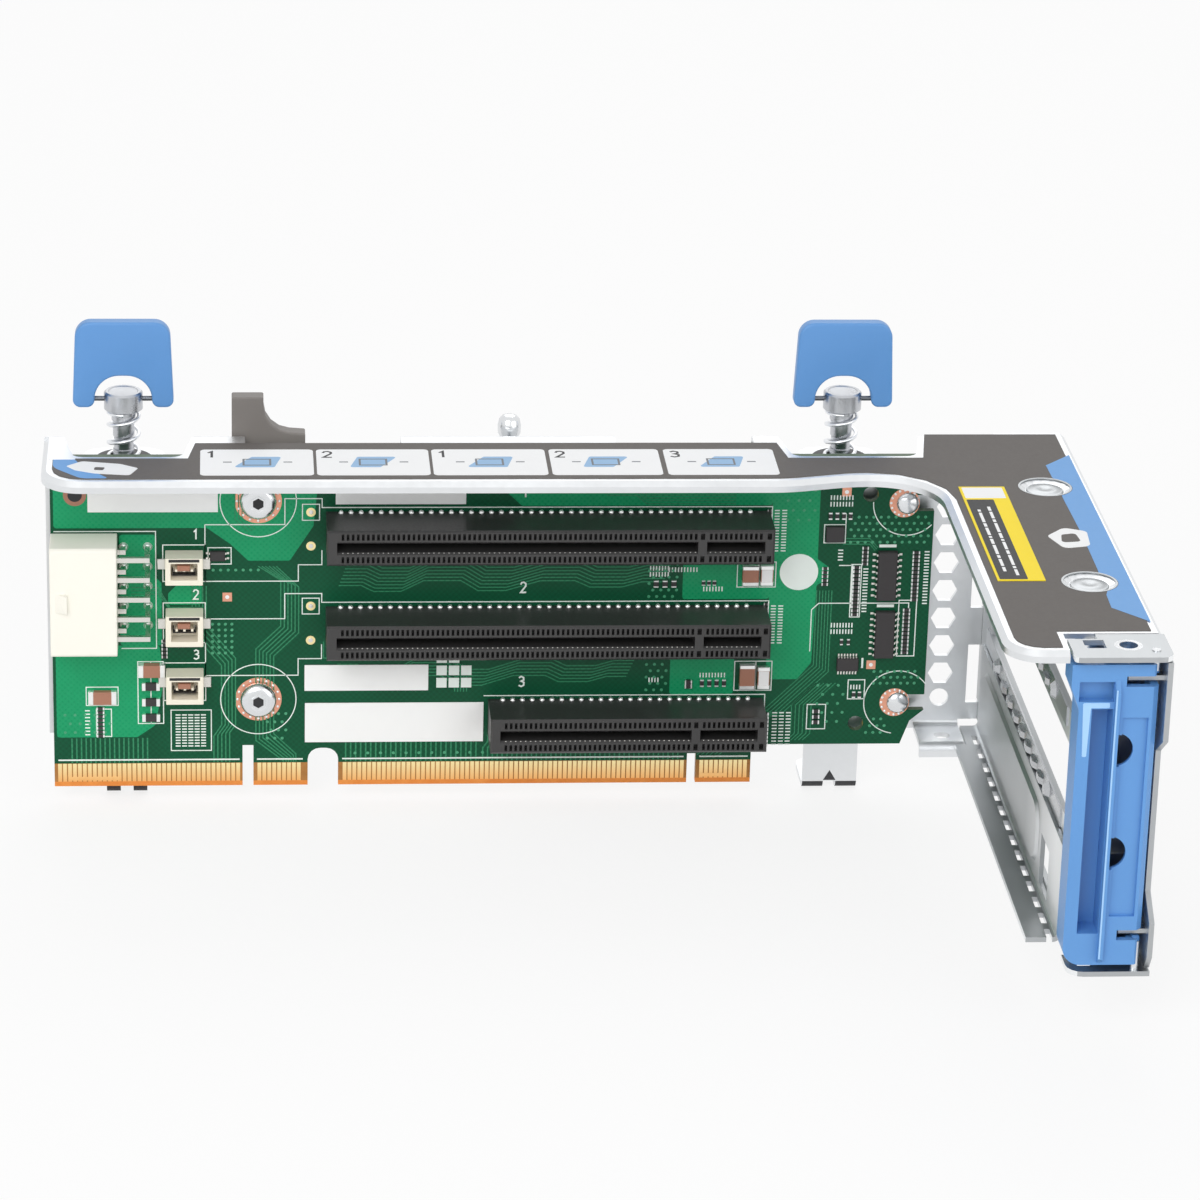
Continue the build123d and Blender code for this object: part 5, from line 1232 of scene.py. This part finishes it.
# the camera that the photograph was fitted with: angles in degrees, eye and focal length in
# millimetres and pixels, and the centre of the picture in pixels
viewDesign = {
    "azimuth": -4.905, "elevation": 21.475, "roll": 1.596, "eye": (-106.371, -886.771, 354.547),
    "focal": 4740.231, "centre": (602.782, 602.179), "picture": 1200.0,
}
v = viewDesign
a, e, r = (math.radians(v[k]) for k in ("azimuth", "elevation", "roll"))
back = np.array([math.sin(a) * math.cos(e), -math.cos(a) * math.cos(e), math.sin(e)])
right = np.array([math.cos(a), math.sin(a), 0.0])
up = np.cross(back, right)
rolledRight, rolledUp = math.cos(r) * right + math.sin(r) * up, -math.sin(r) * right + math.cos(r) * up
cameraData = bpy.data.cameras.new("photo_view")
cameraData.sensor_width = 36.0
cameraData.lens = v["focal"] * 36.0 / v["picture"]
cameraData.shift_x = (v["picture"] / 2 - v["centre"][0]) / v["picture"]
cameraData.shift_y = (v["centre"][1] - v["picture"] / 2) / v["picture"]
cameraData.clip_start, cameraData.clip_end = 0.05, 50.0
camera = bpy.data.objects.new("photo_view", cameraData)
eye = (np.array(v["eye"]) + origin) / 1000
camera.matrix_world = Matrix([[*map(float, row)] for row in np.vstack([
    np.column_stack([rolledRight, rolledUp, back, eye]), [0, 0, 0, 1]])])
bpy.context.scene.collection.objects.link(camera)
bpy.context.scene.camera = camera

reach = 6.0  # metres of floor to each side
floorMesh = bpy.data.meshes.new("pale_floor")
floorCorners = [(-reach, -reach, 0), (reach, -reach, 0), (reach, reach, 0), (-reach, reach, 0)]
floorMesh.from_pydata(floorCorners, [], [(0, 1, 2, 3)])
floor = bpy.data.objects.new("pale_floor", floorMesh)
bpy.context.scene.collection.objects.link(floor)
ground = Finish("floor_paint", {"Roughness": 0.9, "Base Color": (0.95, 0.95, 0.95, 1.0)})
# the camera and reflections see four fifths of plain white, and the rest keeps the shadow
cameraRay, glossyRay = (
    ground.node("ShaderNodeLightPath", output=ray) for ray in ("Is Camera Ray", "Is Glossy Ray"))
glow = ground.node("ShaderNodeEmission", inputs={"Color": (1.0, 1.0, 1.0, 1.0), "Strength": 1.0})
paint = Signal(ground.tree, ground.shader.outputs[0])
mixed = ground.node("ShaderNodeMixShader", inputs={0: (cameraRay + glossyRay) * 0.8, 1: paint, 2: glow})
groundOut = [n for n in ground.tree.nodes if n.type == "OUTPUT_MATERIAL"][0]
ground.tree.links.new(mixed.socket, groundOut.inputs[0])
floorMesh.materials.append(ground.material)

world = bpy.data.worlds.new("soft_room")
bpy.context.scene.world = world
world.use_nodes = True
sky = [n for n in world.node_tree.nodes if n.type == "BACKGROUND"][0]
sky.inputs["Color"].default_value = (1.0, 1.0, 1.0, 1.0)
path = world.node_tree.nodes.new("ShaderNodeLightPath")
cameraRay, glossyRay = (
    Signal(world.node_tree, path.outputs[ray]) for ray in ("Is Camera Ray", "Is Glossy Ray"))
# plain white to the camera, a little less to reflections, and half as bright as a light
strength = cameraRay * 0.48 + glossyRay * 0.43 + 0.52
world.node_tree.links.new(strength.socket, sky.inputs["Strength"])

lampDesign = {
    "key_panel": {"at": (-0.5, -1.1, 0.9), "size": 0.9, "watts": 9.2},
    "fill_panel": {"at": (0.9, -0.9, 0.5), "size": 1.0, "watts": 4.0},
    "rear_panel": {"at": (0.1, 0.9, 1.0), "size": 0.9, "watts": 3.5},
}
for name, lamp in lampDesign.items():
    light = bpy.data.lights.new(name, "AREA")
    light.size, light.energy = lamp["size"], lamp["watts"]
    stand = bpy.data.objects.new(name, light)
    # a lamp looks along its own -Z, which is turned to a point a little above the floor
    aim = (Vector((0.0, 0.0, 0.04)) - Vector(lamp["at"])).to_track_quat("-Z", "Y")
    stand.matrix_world = Matrix.Translation(lamp["at"]) @ aim.to_matrix().to_4x4()
    bpy.context.scene.collection.objects.link(stand)
bpy.context.scene.view_settings.view_transform = "Standard"
print("camera, floor and light made")
